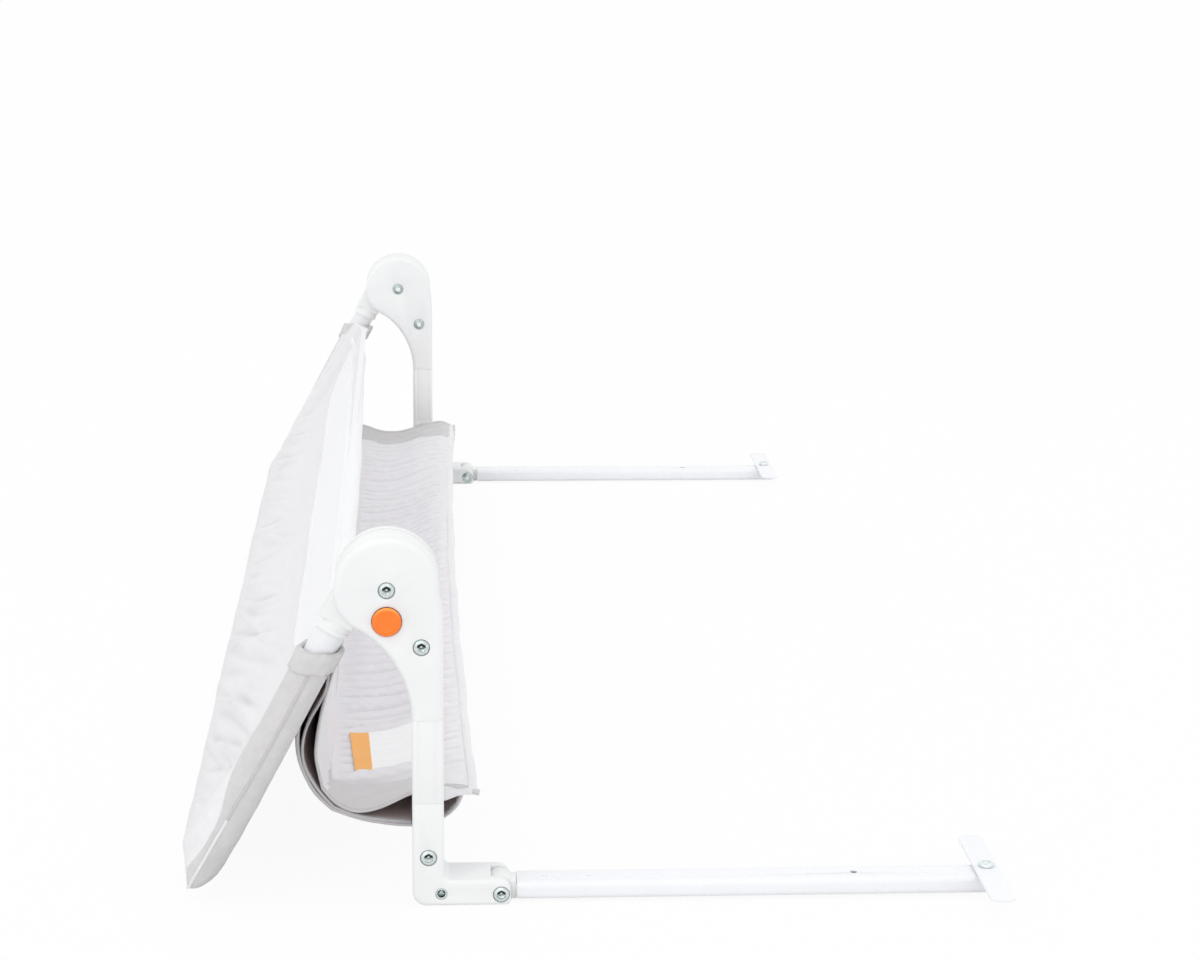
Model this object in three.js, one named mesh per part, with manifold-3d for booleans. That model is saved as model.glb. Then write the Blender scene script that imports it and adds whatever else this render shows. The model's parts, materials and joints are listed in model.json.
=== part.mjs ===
// Folding bed guard rail, shown with its fabric panel swung down.
// Two moulded hinge legs stand on corner brackets, and two flat steel arms slide under the mattress.
// Millimetres, +Z up. X runs from the panel (outside) to the bed, Y along the rail.
// The model ends centred on its footprint, standing on Z = 0.
import * as THREE from 'three';
import { mergeVertices } from 'three/addons/utils/BufferGeometryUtils.js';
import Module from 'manifold-3d';

const wasm = await Module();
wasm.setup();

// Driving dimensions
const rail = { length: 1500 };
const fit = { gap: 0.3, overrun: 4 };

const hinge = {
  pivotHeight: 231.5, headRadius: 36.8, depth: 46, plate: 10, edgeRound: 4.4,
  shoulderAngle: 198, chinRadius: 29.7, throatAngle: 242, throatDrop: 21.4, throatRise: 27, cheekDrop: 26,
  wallTop: 14, hubClearance: 0.7, neckDrop: 41.1,
};
const leg = {
  left: 16.9, width: 22.4, depth: 43, round: 4, fluteOffset: 6.2, fluteWidth: 3.2, fluteDepth: 1.1,
  bottom: 76, topDrop: 94.5, spigotWidth: 18, spigotDepth: 22, spigotFoot: 22, headDrop: 34.5,
};
const bracket = {
  depth: 43, reach: 86.7, height: 18.6, cornerRound: 10, noseRound: 8, innerRound: 5, toeRound: 3,
  edgeRound: 1.6, slotLength: 20.7, slotWidth: 23,
};
const hub = {
  radius: 36.4, boreRadius: 3.5, slotRadius: 22.2, slotHalf: 6, neckHalf: 3.5, slotDepth: 11.8,
  ferruleRadius: 12.5, ferruleEnd: 48, rootStart: 4, rootEnd: 40, socketStart: 29, chamfer: 1.2,
};
const swing = { leanAngle: 28, range: 152 };
const tube = { radius: 11, wall: 1.2, offset: 19, reach: 240, bend: 45, splice: 150, taper: 6, swage: 45 };
const collar = { start: 56, length: 15.7, wall: 2.6, lip: 1 };
const cover = { wall: 2, hingeEdge: 56, edgeLevel: 14, edgeHalf: 4, edgeRun: 7, slack: 0.4 };
const netting = { start: 66, end: 118, margin: 66, round: 24, thickness: 1.2 };
const skirt = {
  thickness: 2.4, level: 4.2, top: 60, leave: 122, left: -64, right: 52, bottom: 43.5, inset: 47.5,
  ripple: 2.2, rippleCount: 3, rows: 20, columns: 14,
};
const hem = { width: 11, thickness: 3.6, level: 68, tabHeight: 12, tabThickness: 1.5, tabStart: 23 };
const arm = {
  pivotInset: 6.8, pivotZ: 8, width: 30, height: 13, wall: 1.5, round: 3, neck: 11.4, length: 348.7,
  knuckleWidth: 19, spigotLength: 38, holeInset: 105, holeRadius: 3, plugCap: 2, plugSpigot: 2.6,
};
const plate = { length: 142, width: 18.4, thickness: 2.6, round: 6, inset: 8.4, nut: 5.2 };
const bolt = {
  shank: 3, head: 6, headHeight: 3.4, headEdge: 1.2, recess: 2.6, recessRadius: 6.5, socket: 3.4,
  socketDepth: 2.8, hole: 3.3, nut: 6.2, nutCap: 2.4, nutBore: 3.3,
};
const neckBolt = { x: 24, z: hinge.pivotHeight - hinge.neckDrop };
const legBolt = { x: 28.3, z: 35.9 };
const rivet = { x: 37.3, z: 9, head: 4.2, shank: 2.4, hole: 2.7, recess: 1, hollow: 1.8, flange: 1 };
const button = {
  drop: 22.2, radius: 10.4, bore: 10.8, proud: 2.6, cap: 3, rim: 1.1, dish: 0.7, web: 2.8,
  boss: 5.4, bossLength: 3.2, travel: 3.2,
};
const pin = { shank: 3.2, collar: 5.2, collarLength: 5, neck: 2.9, socketDepth: 4.4 };
const spring = { radius: 7.6, wire: 0.45, turns: 3, sides: 5, stepsPerTurn: 8 };
const stud = { radius: 4.6, height: 2, shank: 1.6, inset: 6.5 };

// Finishes
const finishes = {
  moulded: { color: 0xf3f4f5, roughness: 0.42, metalness: 0 },
  painted: { color: 0xf1f1f6, roughness: 0.32, metalness: 0.1 },
  button: { color: 0xff7626, roughness: 0.35, metalness: 0 },
  zinc: { color: 0xb9c1c4, roughness: 0.3, metalness: 0.95 },
  springSteel: { color: 0x8e9196, roughness: 0.35, metalness: 1 },
  fabric: { color: 0xdedbe3, roughness: 0.9, metalness: 0 },
  trim: { color: 0xb9b3b6, roughness: 0.9, metalness: 0 },
  lining: { color: 0xc3bac0, roughness: 0.92, metalness: 0 },
  netting: { color: 0xf4f3f8, roughness: 0.85, metalness: 0 },
};

// Places worked out from the driving dimensions
const mid = hinge.depth / 2;
const legRight = leg.left + leg.width;
const legCentre = leg.left + leg.width / 2;
const legTop = hinge.pivotHeight - leg.topDrop;
const spigotHead = hinge.pivotHeight - leg.headDrop;
const bracketOuter = mid - bracket.depth / 2;
const bracketInner = mid + bracket.depth / 2;
const armBolt = { x: bracket.reach - arm.pivotInset, z: arm.pivotZ };
const armStart = armBolt.x + arm.neck;
const armEnd = armStart + arm.length;
const plateX = armEnd - plate.inset;
const hubFront = hinge.plate + fit.gap;
const hubBack = hinge.depth - hinge.plate - fit.gap;
const sleeveRadius = tube.radius + cover.slack + cover.wall;
const radians = THREE.MathUtils.degToRad;

// The panel's own frame: x along the rail, y away from the pivot, z out of its front face.
const lean = radians(swing.leanAngle);
const away = new THREE.Vector3(-Math.sin(lean), 0, -Math.cos(lean));
const front = new THREE.Vector3(-Math.cos(lean), 0, Math.sin(lean));
const panelBasis = new THREE.Matrix4().makeBasis(new THREE.Vector3(0, 1, 0), away, front);

// Closed meshes and solids
function closed(geometry) {
  const bare = geometry.clone();
  bare.deleteAttribute('normal');
  bare.deleteAttribute('uv');
  const merged = mergeVertices(bare);
  const place = merged.getAttribute('position');
  const kept = [];
  let volume = 0;
  const [a, b, c] = [new THREE.Vector3(), new THREE.Vector3(), new THREE.Vector3()];
  for (let i = 0; i < merged.index.count; i += 3) {
    const corners = [0, 1, 2].map((k) => merged.index.getX(i + k));
    if (new Set(corners).size < 3) continue;
    kept.push(...corners);
    a.fromBufferAttribute(place, corners[0]);
    b.fromBufferAttribute(place, corners[1]);
    c.fromBufferAttribute(place, corners[2]);
    volume += a.dot(b.cross(c));
  }
  if (volume < 0) kept.reverse();
  merged.setIndex(kept);
  return merged;
}

function solid(geometry) {
  const mesh = closed(geometry);
  return new wasm.Manifold(new wasm.Mesh({
    numProp: 3,
    vertProperties: new Float32Array(mesh.getAttribute('position').array),
    triVerts: new Uint32Array(mesh.index.array),
  }));
}

function geometryOf(body) {
  const mesh = body.getMesh();
  const geometry = new THREE.BufferGeometry();
  geometry.setAttribute('position', new THREE.BufferAttribute(new Float32Array(mesh.vertProperties), 3));
  geometry.setIndex(new THREE.BufferAttribute(new Uint32Array(mesh.triVerts), 1));
  return geometry;
}

const join = (...shapes) => shapes.map(asSolid).reduce((sum, next) => sum.add(next));
const cut = (shape, ...tools) => tools.map(asSolid)
  .reduce((left, tool) => left.subtract(tool), asSolid(shape));
const common = (shape, other) => asSolid(shape).intersect(asSolid(other));

function asSolid(shape) {
  return shape.isBufferGeometry ? solid(shape) : shape;
}

// A profile drawn in X and Z, given a thickness from one distance inside the outer face to another.
function across(profile, from, to, round = 0, fineness = 3) {
  const geometry = new THREE.ExtrudeGeometry(profile, {
    depth: to - from - 2 * round, bevelEnabled: round > 0, bevelThickness: round, bevelSize: round,
    bevelOffset: -round, bevelSegments: 2, curveSegments: fineness,
  });
  geometry.rotateX(Math.PI / 2);
  return geometry.translate(0, to - round, 0);
}

// A profile drawn in X and Y, raised from one height to another.
function upward(profile, from, to, round = 0) {
  const geometry = new THREE.ExtrudeGeometry(profile, {
    depth: to - from - 2 * round, bevelEnabled: round > 0, bevelThickness: round, bevelSize: round,
    bevelOffset: -round, bevelSegments: 1, curveSegments: 3,
  });
  return geometry.translate(0, 0, from + round);
}

function box(low, high) {
  const size = high.map((value, i) => value - low[i]);
  const geometry = new THREE.BoxGeometry(...size);
  return geometry.translate(...high.map((value, i) => (value + low[i]) / 2));
}

function rodAcross(radius, from, to, x, z, sides = 16) {
  const geometry = new THREE.CylinderGeometry(radius, radius, to - from, sides);
  return geometry.translate(x, (from + to) / 2, z);
}

function turned(points, x = 0, z = 0, sides = 12) {
  const profile = points.map(([radius, along]) => new THREE.Vector2(radius, along));
  return new THREE.LatheGeometry(profile, sides).translate(x, 0, z);
}

function roundedBox(left, low, width, height, round) {
  const shape = new THREE.Shape();
  const [right, high] = [left + width, low + height];
  shape.moveTo(left + round, low);
  shape.absarc(right - round, low + round, round, -Math.PI / 2, 0);
  shape.absarc(right - round, high - round, round, 0, Math.PI / 2);
  shape.absarc(left + round, high - round, round, Math.PI / 2, Math.PI);
  shape.absarc(left + round, low + round, round, Math.PI, 1.5 * Math.PI);
  return shape;
}

// A route with a station at every bend, so that straight stretches take one step.
class Route extends THREE.Curve {
  constructor(points, tangents) {
    super();
    Object.assign(this, { points, tangents, steps: points.length - 1 });
  }
  getPoint(t) { return this.points[Math.round(t * this.steps)].clone(); }
  getPointAt(t) { return this.getPoint(t); }
  getTangentAt(t) { return this.tangents[Math.round(t * this.steps)].clone(); }
}

function sweep(profile, route) {
  const options = { steps: route.steps, extrudePath: route, curveSegments: 6, bevelEnabled: false };
  return new THREE.ExtrudeGeometry(profile, options);
}

function disc(radius, hole = 0) {
  const shape = new THREE.Shape();
  shape.absarc(0, 0, radius, 0, 2 * Math.PI);
  if (hole > 0) shape.holes.push(new THREE.Path().absarc(0, 0, hole, 0, 2 * Math.PI));
  return shape;
}

// Bolts with a domed head and a hexagon socket, and the domed cap nuts on the bed side of each joint.
function dome(radius, height, edge, seat, way) {
  const shares = [1, 0.8, 0.4, 0];
  return shares.map((share) => [radius * share,
    seat + way * (edge + (height - edge) * Math.sqrt(1 - share * share))]);
}

function domeBolt(seat, end, x, z) {
  const head = dome(bolt.head, bolt.headHeight, bolt.headEdge, seat, -1).reverse();
  const body = turned([...head, [bolt.head, seat], [bolt.shank, seat], [bolt.shank, end], [0, end]], x, z);
  const top = seat - bolt.headHeight;
  return cut(body, rodAcross(bolt.socket, top - fit.overrun, top + bolt.socketDepth, x, z, 6));
}

function capNut(seat, x, z) {
  const cap = dome(bolt.nut, bolt.nutCap + bolt.recess, bolt.recess, seat, 1);
  const bottom = seat + bolt.recess;
  return closed(turned([[0, bottom], [bolt.nutBore, bottom], [bolt.nutBore, seat], [bolt.nut, seat], ...cap],
    x, z));
}

function boltThrough(add, name, place, outer, inner) {
  const seat = outer + bolt.recess;
  const nutSeat = inner - bolt.recess;
  add(`${name}_bolt`, domeBolt(seat, nutSeat + bolt.recess - fit.gap, place.x, place.z), 'zinc');
  add(`${name}_nut`, capNut(nutSeat + fit.gap, place.x, place.z), 'zinc');
}

function boltHoles(place, outer, inner) {
  return [
    rodAcross(bolt.hole, outer - fit.overrun, inner + fit.overrun, place.x, place.z, 12),
    rodAcross(bolt.recessRadius, outer - fit.overrun, outer + bolt.recess, place.x, place.z),
    rodAcross(bolt.recessRadius, inner - bolt.recess, inner + fit.overrun, place.x, place.z),
  ];
}

// Hinge housing: two moulded shells that clamp the leg's spigot and carry the turning hub between them.
const pivot = { x: 0, z: hinge.pivotHeight };
const release = { x: 0, z: hinge.pivotHeight - button.drop };

function housingProfile() {
  const shape = new THREE.Shape();
  const shoulder = radians(hinge.shoulderAngle);
  const throat = radians(hinge.throatAngle);
  const towards = (angle, length) => new THREE.Vector2(Math.cos(angle), Math.sin(angle)).multiplyScalar(length);
  const chin = towards(shoulder, hinge.headRadius - hinge.chinRadius);
  chin.y += hinge.pivotHeight;
  const half = (throat - shoulder) / 2;
  const chinCorner = towards(shoulder + half, hinge.chinRadius / Math.cos(half)).add(chin);
  const chinEnd = towards(throat, hinge.chinRadius).add(chin);
  const leave = towards(throat + Math.PI / 2, hinge.throatDrop).add(chinEnd);
  const foot = legTop + hinge.edgeRound;
  shape.moveTo(legRight, legTop);
  shape.lineTo(legRight, hinge.pivotHeight - hinge.cheekDrop);
  shape.quadraticCurveTo(legRight - hinge.edgeRound / 2, hinge.pivotHeight - hinge.cheekDrop / 2,
    hinge.headRadius, hinge.pivotHeight);
  shape.absarc(0, hinge.pivotHeight, hinge.headRadius, 0, shoulder);
  shape.quadraticCurveTo(chinCorner.x, chinCorner.y, chinEnd.x, chinEnd.y);
  shape.bezierCurveTo(leave.x, leave.y, leg.left, foot + hinge.throatRise, leg.left, foot);
  shape.lineTo(leg.left, legTop);
  return shape;
}

function spigotPocket() {
  const side = leg.spigotWidth / 2 + fit.gap;
  const half = leg.spigotDepth / 2 + fit.gap;
  return box([legCentre - side, mid - half, legTop - fit.overrun],
    [legCentre + side, mid + half, spigotHead + fit.gap]);
}

// The room between the shells: the hub's disc, the arm's sweep and the open top.
function hubRoom() {
  const armSide = tube.offset - hub.ferruleRadius - hinge.hubClearance;
  const low = hinge.plate;
  const high = hinge.depth - hinge.plate;
  const sweepBox = box([low, -2 * hinge.headRadius, armSide],
    [high, 2 * hinge.headRadius, 2 * hinge.headRadius]);
  sweepBox.applyMatrix4(panelBasis).translate(0, 0, hinge.pivotHeight);
  return join(
    rodAcross(hub.radius + hinge.hubClearance, low, high, 0, hinge.pivotHeight, 36),
    sweepBox,
    box([-2 * hinge.headRadius, low, hinge.pivotHeight - hinge.wallTop],
      [2 * hinge.headRadius, high, hinge.pivotHeight + 2 * hinge.headRadius]),
  );
}

function addHousing(add) {
  const whole = solid(across(housingProfile(), 0, hinge.depth, hinge.edgeRound, 9));
  const bored = cut(whole, hubRoom(), spigotPocket(), ...boltHoles(pivot, 0, hinge.depth),
    ...boltHoles(neckBolt, 0, hinge.depth));
  const reach = 3 * hinge.headRadius;
  const half = (from, to) => box([-reach, from, 0], [reach, to, hinge.pivotHeight + reach]);
  const outerHalf = common(bored, half(-fit.overrun, mid - fit.gap / 2));
  add('hinge_outer_shell', cut(outerHalf,
    rodAcross(button.bore, -fit.overrun, hinge.plate - button.web, release.x, release.z, 24),
    rodAcross(pin.shank + fit.gap, 0, hinge.depth, release.x, release.z, 12)), 'moulded');
  add('hinge_inner_shell', common(bored, half(mid + fit.gap / 2, hinge.depth + fit.overrun)), 'moulded');
}

// Hub: a disc with the lock pin's curved channel, and the arm whose socket holds the panel tube.
function curvedSlot(radius, half, start, end) {
  const shape = new THREE.Shape();
  const centre = (angle) => [radius * Math.cos(angle), radius * Math.sin(angle)];
  shape.absarc(0, 0, radius + half, start, end, false);
  shape.absarc(...centre(end), half, end, end + Math.PI, false);
  shape.absarc(0, 0, radius - half, end, start, true);
  shape.absarc(...centre(start), half, start + Math.PI, start + 2 * Math.PI, false);
  return shape;
}

function hubArm() {
  const side = tube.offset - hub.ferruleRadius;
  const outerSide = tube.offset + hub.ferruleRadius;
  const root = new THREE.Shape([
    [hub.rootStart, side], [hub.rootEnd, side], [hub.rootEnd, outerSide],
    [hub.rootStart, Math.sqrt(hub.radius ** 2 - hub.rootStart ** 2)],
  ].map(([u, n]) => new THREE.Vector2(u, n)));
  const ferrule = new THREE.CylinderGeometry(hub.ferruleRadius, hub.ferruleRadius,
    hub.ferruleEnd - hub.rootStart, 20);
  ferrule.translate(mid, (hub.ferruleEnd + hub.rootStart) / 2, tube.offset);
  const socket = new THREE.CylinderGeometry(tube.radius + fit.gap, tube.radius + fit.gap,
    hub.ferruleEnd - hub.socketStart + fit.overrun, 20);
  socket.translate(mid, (hub.ferruleEnd + hub.socketStart + fit.overrun) / 2, tube.offset);
  const block = alongRail(root, hubFront, hubBack, hub.chamfer);
  return { body: join(block, ferrule), socket };
}

// A profile drawn in the panel's y and z, given a length along the rail.
function alongRail(profile, from, to, round = 0) {
  const geometry = new THREE.ExtrudeGeometry(profile, {
    depth: to - from - 2 * round, bevelEnabled: round > 0, bevelThickness: round, bevelSize: round,
    bevelOffset: -round, bevelSegments: 1, curveSegments: 3,
  });
  geometry.translate(0, 0, from + round);
  return geometry.applyMatrix4(new THREE.Matrix4().makeBasis(
    new THREE.Vector3(0, 1, 0), new THREE.Vector3(0, 0, 1), new THREE.Vector3(1, 0, 0)));
}

function addHub(add) {
  const { body, socket } = hubArm();
  const start = -Math.PI / 2;
  const end = start + radians(swing.range);
  const placedArm = geometryOf(cut(body, socket)).applyMatrix4(panelBasis);
  const discBody = across(disc(hub.radius), hubFront, hubBack, hub.chamfer, 16);
  const bored = cut(join(discBody, placedArm),
    across(curvedSlot(hub.slotRadius, hub.slotHalf, start, end), 0, hubFront + hub.slotDepth, 0, 5),
    across(curvedSlot(hub.slotRadius, hub.neckHalf, start, end), 0, hinge.depth, 0, 5),
    rodAcross(hub.boreRadius, 0, hinge.depth, 0, 0),
    geometryOf(solid(socket)).applyMatrix4(panelBasis));
  add('hinge_hub', geometryOf(bored).translate(0, 0, hinge.pivotHeight), 'moulded');
}

// Release button with its return spring and the lock pin that runs in the hub's channel.
function addRelease(add) {
  const under = button.cap - button.proud;
  const face = [[0, button.dish - button.proud], [button.radius - 2 * button.rim, button.dish - button.proud],
    [button.radius - button.rim, -button.proud], [button.radius, button.rim - button.proud]];
  const cap = turned([...face, [button.radius, under], [button.boss, under],
    [button.boss, under + button.bossLength], [0, under + button.bossLength]], release.x, release.z, 24);
  const socket = rodAcross(pin.shank + fit.gap, under + button.bossLength - pin.socketDepth,
    hinge.depth, release.x, release.z, 12);
  add('release_button', cut(cap, socket), 'button');
  const foot = under + button.bossLength - pin.socketDepth + fit.gap;
  const collarStart = hubFront + fit.gap;
  const collarEnd = collarStart + pin.collarLength;
  const end = hubBack - button.travel - fit.gap;
  add('lock_pin', closed(turned([[0, foot], [pin.shank, foot], [pin.shank, collarStart],
    [pin.collar, collarStart], [pin.collar, collarEnd], [pin.neck, collarEnd], [pin.neck, end],
    [0, end]], release.x, release.z)), 'springSteel');
  add('button_spring', coilSpring(under + fit.gap, hinge.plate - button.web - fit.gap), 'springSteel');
}

function coilSpring(from, to) {
  const steps = spring.turns * spring.stepsPerTurn;
  const rise = to - from - 2 * spring.wire;
  const points = [];
  for (let i = 0; i <= steps; i += 1) {
    const angle = (2 * Math.PI * i) / spring.stepsPerTurn;
    points.push(new THREE.Vector3(spring.radius * Math.cos(angle) + release.x,
      from + spring.wire + (rise * i) / steps, spring.radius * Math.sin(angle) + release.z));
  }
  const tangents = points.map((point, i) => {
    const before = points[Math.max(i - 1, 0)];
    const after = points[Math.min(i + 1, steps)];
    return after.clone().sub(before).normalize();
  });
  const wire = new THREE.Shape();
  for (let k = 0; k < spring.sides; k += 1) {
    const angle = (2 * Math.PI * k) / spring.sides;
    const [x, y] = [spring.wire * Math.cos(angle), spring.wire * Math.sin(angle)];
    if (k === 0) wire.moveTo(x, y);
    else wire.lineTo(x, y);
  }
  return closed(sweep(wire, new Route(points, tangents)));
}

function springGap() {
  const under = button.cap - button.proud;
  const height = hinge.plate - button.web - under - 2 * fit.gap - 2 * spring.wire;
  return height / spring.turns - 2 * spring.wire;
}

// Leg: a fluted moulded post whose spigots enter the housing above and the corner bracket below.
function addLeg(add) {
  const from = leg.bottom + fit.gap;
  const to = legTop - fit.gap;
  const flutes = [];
  for (const side of [-1, 1]) {
    for (const face of [-1, 1]) {
      const x = legCentre + side * leg.fluteOffset;
      const y = mid + face * leg.depth / 2;
      flutes.push(box([x - leg.fluteWidth / 2, y - leg.fluteDepth, from - fit.overrun],
        [x + leg.fluteWidth / 2, y + leg.fluteDepth, to + fit.overrun]));
    }
  }
  const outline = roundedBox(leg.left, mid - leg.depth / 2, leg.width, leg.depth, leg.round);
  const post = cut(upward(outline, from, to), ...flutes);
  const spigot = box([legCentre - leg.spigotWidth / 2, mid - leg.spigotDepth / 2, leg.spigotFoot + fit.gap],
    [legCentre + leg.spigotWidth / 2, mid + leg.spigotDepth / 2, spigotHead]);
  const holes = [neckBolt, legBolt]
    .map((place) => rodAcross(bolt.hole, 0, hinge.depth, place.x, place.z, 12));
  add('leg_post', cut(join(post, spigot), ...holes), 'moulded');
}

// Corner bracket: the leg's socket above, the arm's clevis towards the bed.
function bracketProfile() {
  const shape = new THREE.Shape();
  shape.moveTo(leg.left, leg.bottom);
  shape.absarc(leg.left + bracket.cornerRound, bracket.cornerRound, bracket.cornerRound,
    Math.PI, 1.5 * Math.PI);
  shape.absarc(bracket.reach - bracket.toeRound, bracket.toeRound, bracket.toeRound, -Math.PI / 2, 0);
  shape.absarc(bracket.reach - bracket.noseRound, bracket.height - bracket.noseRound, bracket.noseRound,
    0, Math.PI / 2);
  shape.absarc(legRight + bracket.innerRound, bracket.height + bracket.innerRound, bracket.innerRound,
    1.5 * Math.PI, Math.PI, true);
  shape.lineTo(legRight, leg.bottom);
  return shape;
}

function addBracket(add) {
  const half = leg.spigotDepth / 2 + fit.gap;
  const side = leg.spigotWidth / 2 + fit.gap;
  const socket = box([legCentre - side, mid - half, leg.spigotFoot],
    [legCentre + side, mid + half, leg.bottom + fit.overrun]);
  const slot = box([bracket.reach - bracket.slotLength, mid - bracket.slotWidth / 2, -fit.overrun],
    [bracket.reach + fit.overrun, mid + bracket.slotWidth / 2, bracket.height + fit.overrun]);
  const body = cut(across(bracketProfile(), bracketOuter, bracketInner, bracket.edgeRound), socket, slot,
    ...boltHoles(legBolt, bracketOuter, bracketInner), ...boltHoles(armBolt, bracketOuter, bracketInner),
    rodAcross(rivet.hole, 0, hinge.depth, rivet.x, rivet.z, 10),
    rodAcross(rivet.head + fit.gap, 0, bracketOuter + rivet.recess + rivet.flange, rivet.x, rivet.z, 12),
    rodAcross(rivet.head + fit.gap, bracketInner - rivet.recess - rivet.flange, hinge.depth,
      rivet.x, rivet.z, 12));
  add('corner_bracket', body, 'moulded');
  const outerSeat = bracketOuter + rivet.recess + rivet.flange - fit.gap;
  const innerSeat = bracketInner - rivet.recess - rivet.flange + fit.gap;
  add('bracket_rivet', closed(turned([
    [rivet.hollow, outerSeat - rivet.flange], [rivet.head, outerSeat - rivet.flange], [rivet.head, outerSeat],
    [rivet.shank, outerSeat], [rivet.shank, innerSeat], [rivet.head, innerSeat],
    [rivet.head, innerSeat + rivet.flange], [rivet.hollow, innerSeat + rivet.flange],
    [rivet.hollow, outerSeat - rivet.flange]], rivet.x, rivet.z)), 'zinc');
}

// Arm: a flat oval steel tube on a moulded knuckle, with an end plug and the cross plate.
function armSection(inset) {
  const round = Math.max(arm.round - inset / 2, arm.round / 2);
  return roundedBox(mid - arm.width / 2 + inset, arm.pivotZ - arm.height / 2 + inset,
    arm.width - 2 * inset, arm.height - 2 * inset, round);
}

// A section drawn in Y and Z, run towards the bed.
function towardsBed(profile, from, to) {
  const geometry = new THREE.ExtrudeGeometry(profile,
    { depth: to - from, bevelEnabled: false, curveSegments: 2 });
  geometry.applyMatrix4(new THREE.Matrix4().makeBasis(
    new THREE.Vector3(0, 1, 0), new THREE.Vector3(0, 0, 1), new THREE.Vector3(1, 0, 0)));
  return geometry.translate(from, 0, 0);
}

function addArm(add) {
  const top = arm.pivotZ + arm.height / 2;
  const bore = towardsBed(armSection(arm.wall), armStart - fit.overrun, armEnd + fit.overrun);
  const upHole = (x, radius) => new THREE.CylinderGeometry(radius, radius, arm.height, 12)
    .rotateX(Math.PI / 2).translate(x, mid, top);
  add('arm_tube', cut(towardsBed(armSection(0), armStart, armEnd), bore,
    upHole(armEnd - arm.holeInset, arm.holeRadius), upHole(plateX, bolt.hole)), 'painted');

  const eye = rodAcross(arm.height / 2, mid - arm.knuckleWidth / 2, mid + arm.knuckleWidth / 2,
    armBolt.x, arm.pivotZ, 20);
  const neck = box([armBolt.x, mid - arm.knuckleWidth / 2, arm.pivotZ - arm.height / 2],
    [armStart - fit.gap, mid + arm.knuckleWidth / 2, top]);
  const spigot = towardsBed(armSection(arm.wall + fit.gap), armStart - 2 * fit.gap,
    armStart + arm.spigotLength);
  const trimmed = common(spigot, box([armStart - 2 * fit.gap, mid - arm.width / 2, 0],
    [armStart + arm.spigotLength, mid + arm.width / 2, top]));
  add('arm_knuckle', cut(join(eye, neck, trimmed),
    rodAcross(bolt.hole, 0, hinge.depth, armBolt.x, arm.pivotZ, 12)), 'moulded');

  const plugBody = towardsBed(armSection(arm.wall + fit.gap), armEnd - arm.plugSpigot, armEnd + fit.gap);
  const plugCap = towardsBed(armSection(0), armEnd + fit.gap, armEnd + fit.gap + arm.plugCap);
  add('arm_end_plug', join(plugBody, plugCap), 'moulded');

  const under = top + fit.gap;
  const outline = roundedBox(plateX - plate.width / 2, mid - plate.length / 2,
    plate.width, plate.length, plate.round);
  const hole = new THREE.CylinderGeometry(bolt.hole, bolt.hole, arm.height, 12)
    .rotateX(Math.PI / 2).translate(plateX, mid, under);
  add('cross_plate', cut(upward(outline, under, under + plate.thickness, plate.thickness / 4), hole),
    'painted');

  const seat = under + plate.thickness + fit.gap;
  const low = arm.pivotZ;
  const stand = (shape) => geometryOf(asSolid(shape)).rotateX(-Math.PI / 2).translate(plateX, mid, 0);
  add('plate_bolt', stand(domeBolt(-seat, -low, 0, 0)), 'zinc');
  const nutTop = top - arm.wall - fit.gap;
  const nutLow = arm.pivotZ - arm.height / 2 + arm.wall + fit.gap;
  add('plate_nut', stand(closed(turned([[bolt.nutBore, -nutTop], [plate.nut, -nutTop],
    [plate.nut, -nutLow], [bolt.nutBore, -nutLow], [bolt.nutBore, -nutTop]]))), 'zinc');
}

// Panel frame: one bent tube each end, whose drawn-down tip enters a straight bar.
function bendRoute(sideX, way) {
  const level = tube.offset;
  const centre = new THREE.Vector2(sideX + way * tube.bend, tube.reach - tube.bend);
  const points = [];
  const tangents = [];
  const steps = 8;
  for (let i = 0; i <= steps; i += 1) {
    const angle = (Math.PI / 2) * (i / steps);
    points.push(new THREE.Vector3(centre.x - way * tube.bend * Math.cos(angle),
      centre.y + tube.bend * Math.sin(angle), level));
    tangents.push(new THREE.Vector3(way * Math.sin(angle), Math.cos(angle), 0));
  }
  return { points, tangents };
}

function withEnds(route, start, end) {
  return new Route([start, ...route.points, end],
    [route.tangents[0], ...route.tangents, route.tangents[route.tangents.length - 1]]);
}

const halfRail = rail.length / 2;
const sideTubeX = halfRail - mid;
const spliceX = halfRail - tube.splice;

// The bend's swaged end, drawn down to enter the straight bar.
function swagedEnd() {
  const outer = tube.radius - tube.wall / 2;
  const inner = tube.radius - tube.wall + fit.gap / 2;
  const small = tube.radius - tube.wall - 2 * fit.gap;
  const thin = small - tube.wall;
  const start = -2 * tube.taper;
  const profile = [[inner, start], [outer, start], [outer, start + tube.taper], [small, -fit.gap],
    [small, tube.swage], [thin, tube.swage], [thin, -fit.gap], [inner, start]];
  return turned(profile, 0, 0, 12).rotateZ(-Math.PI / 2).translate(tube.splice, tube.reach, tube.offset);
}

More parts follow.
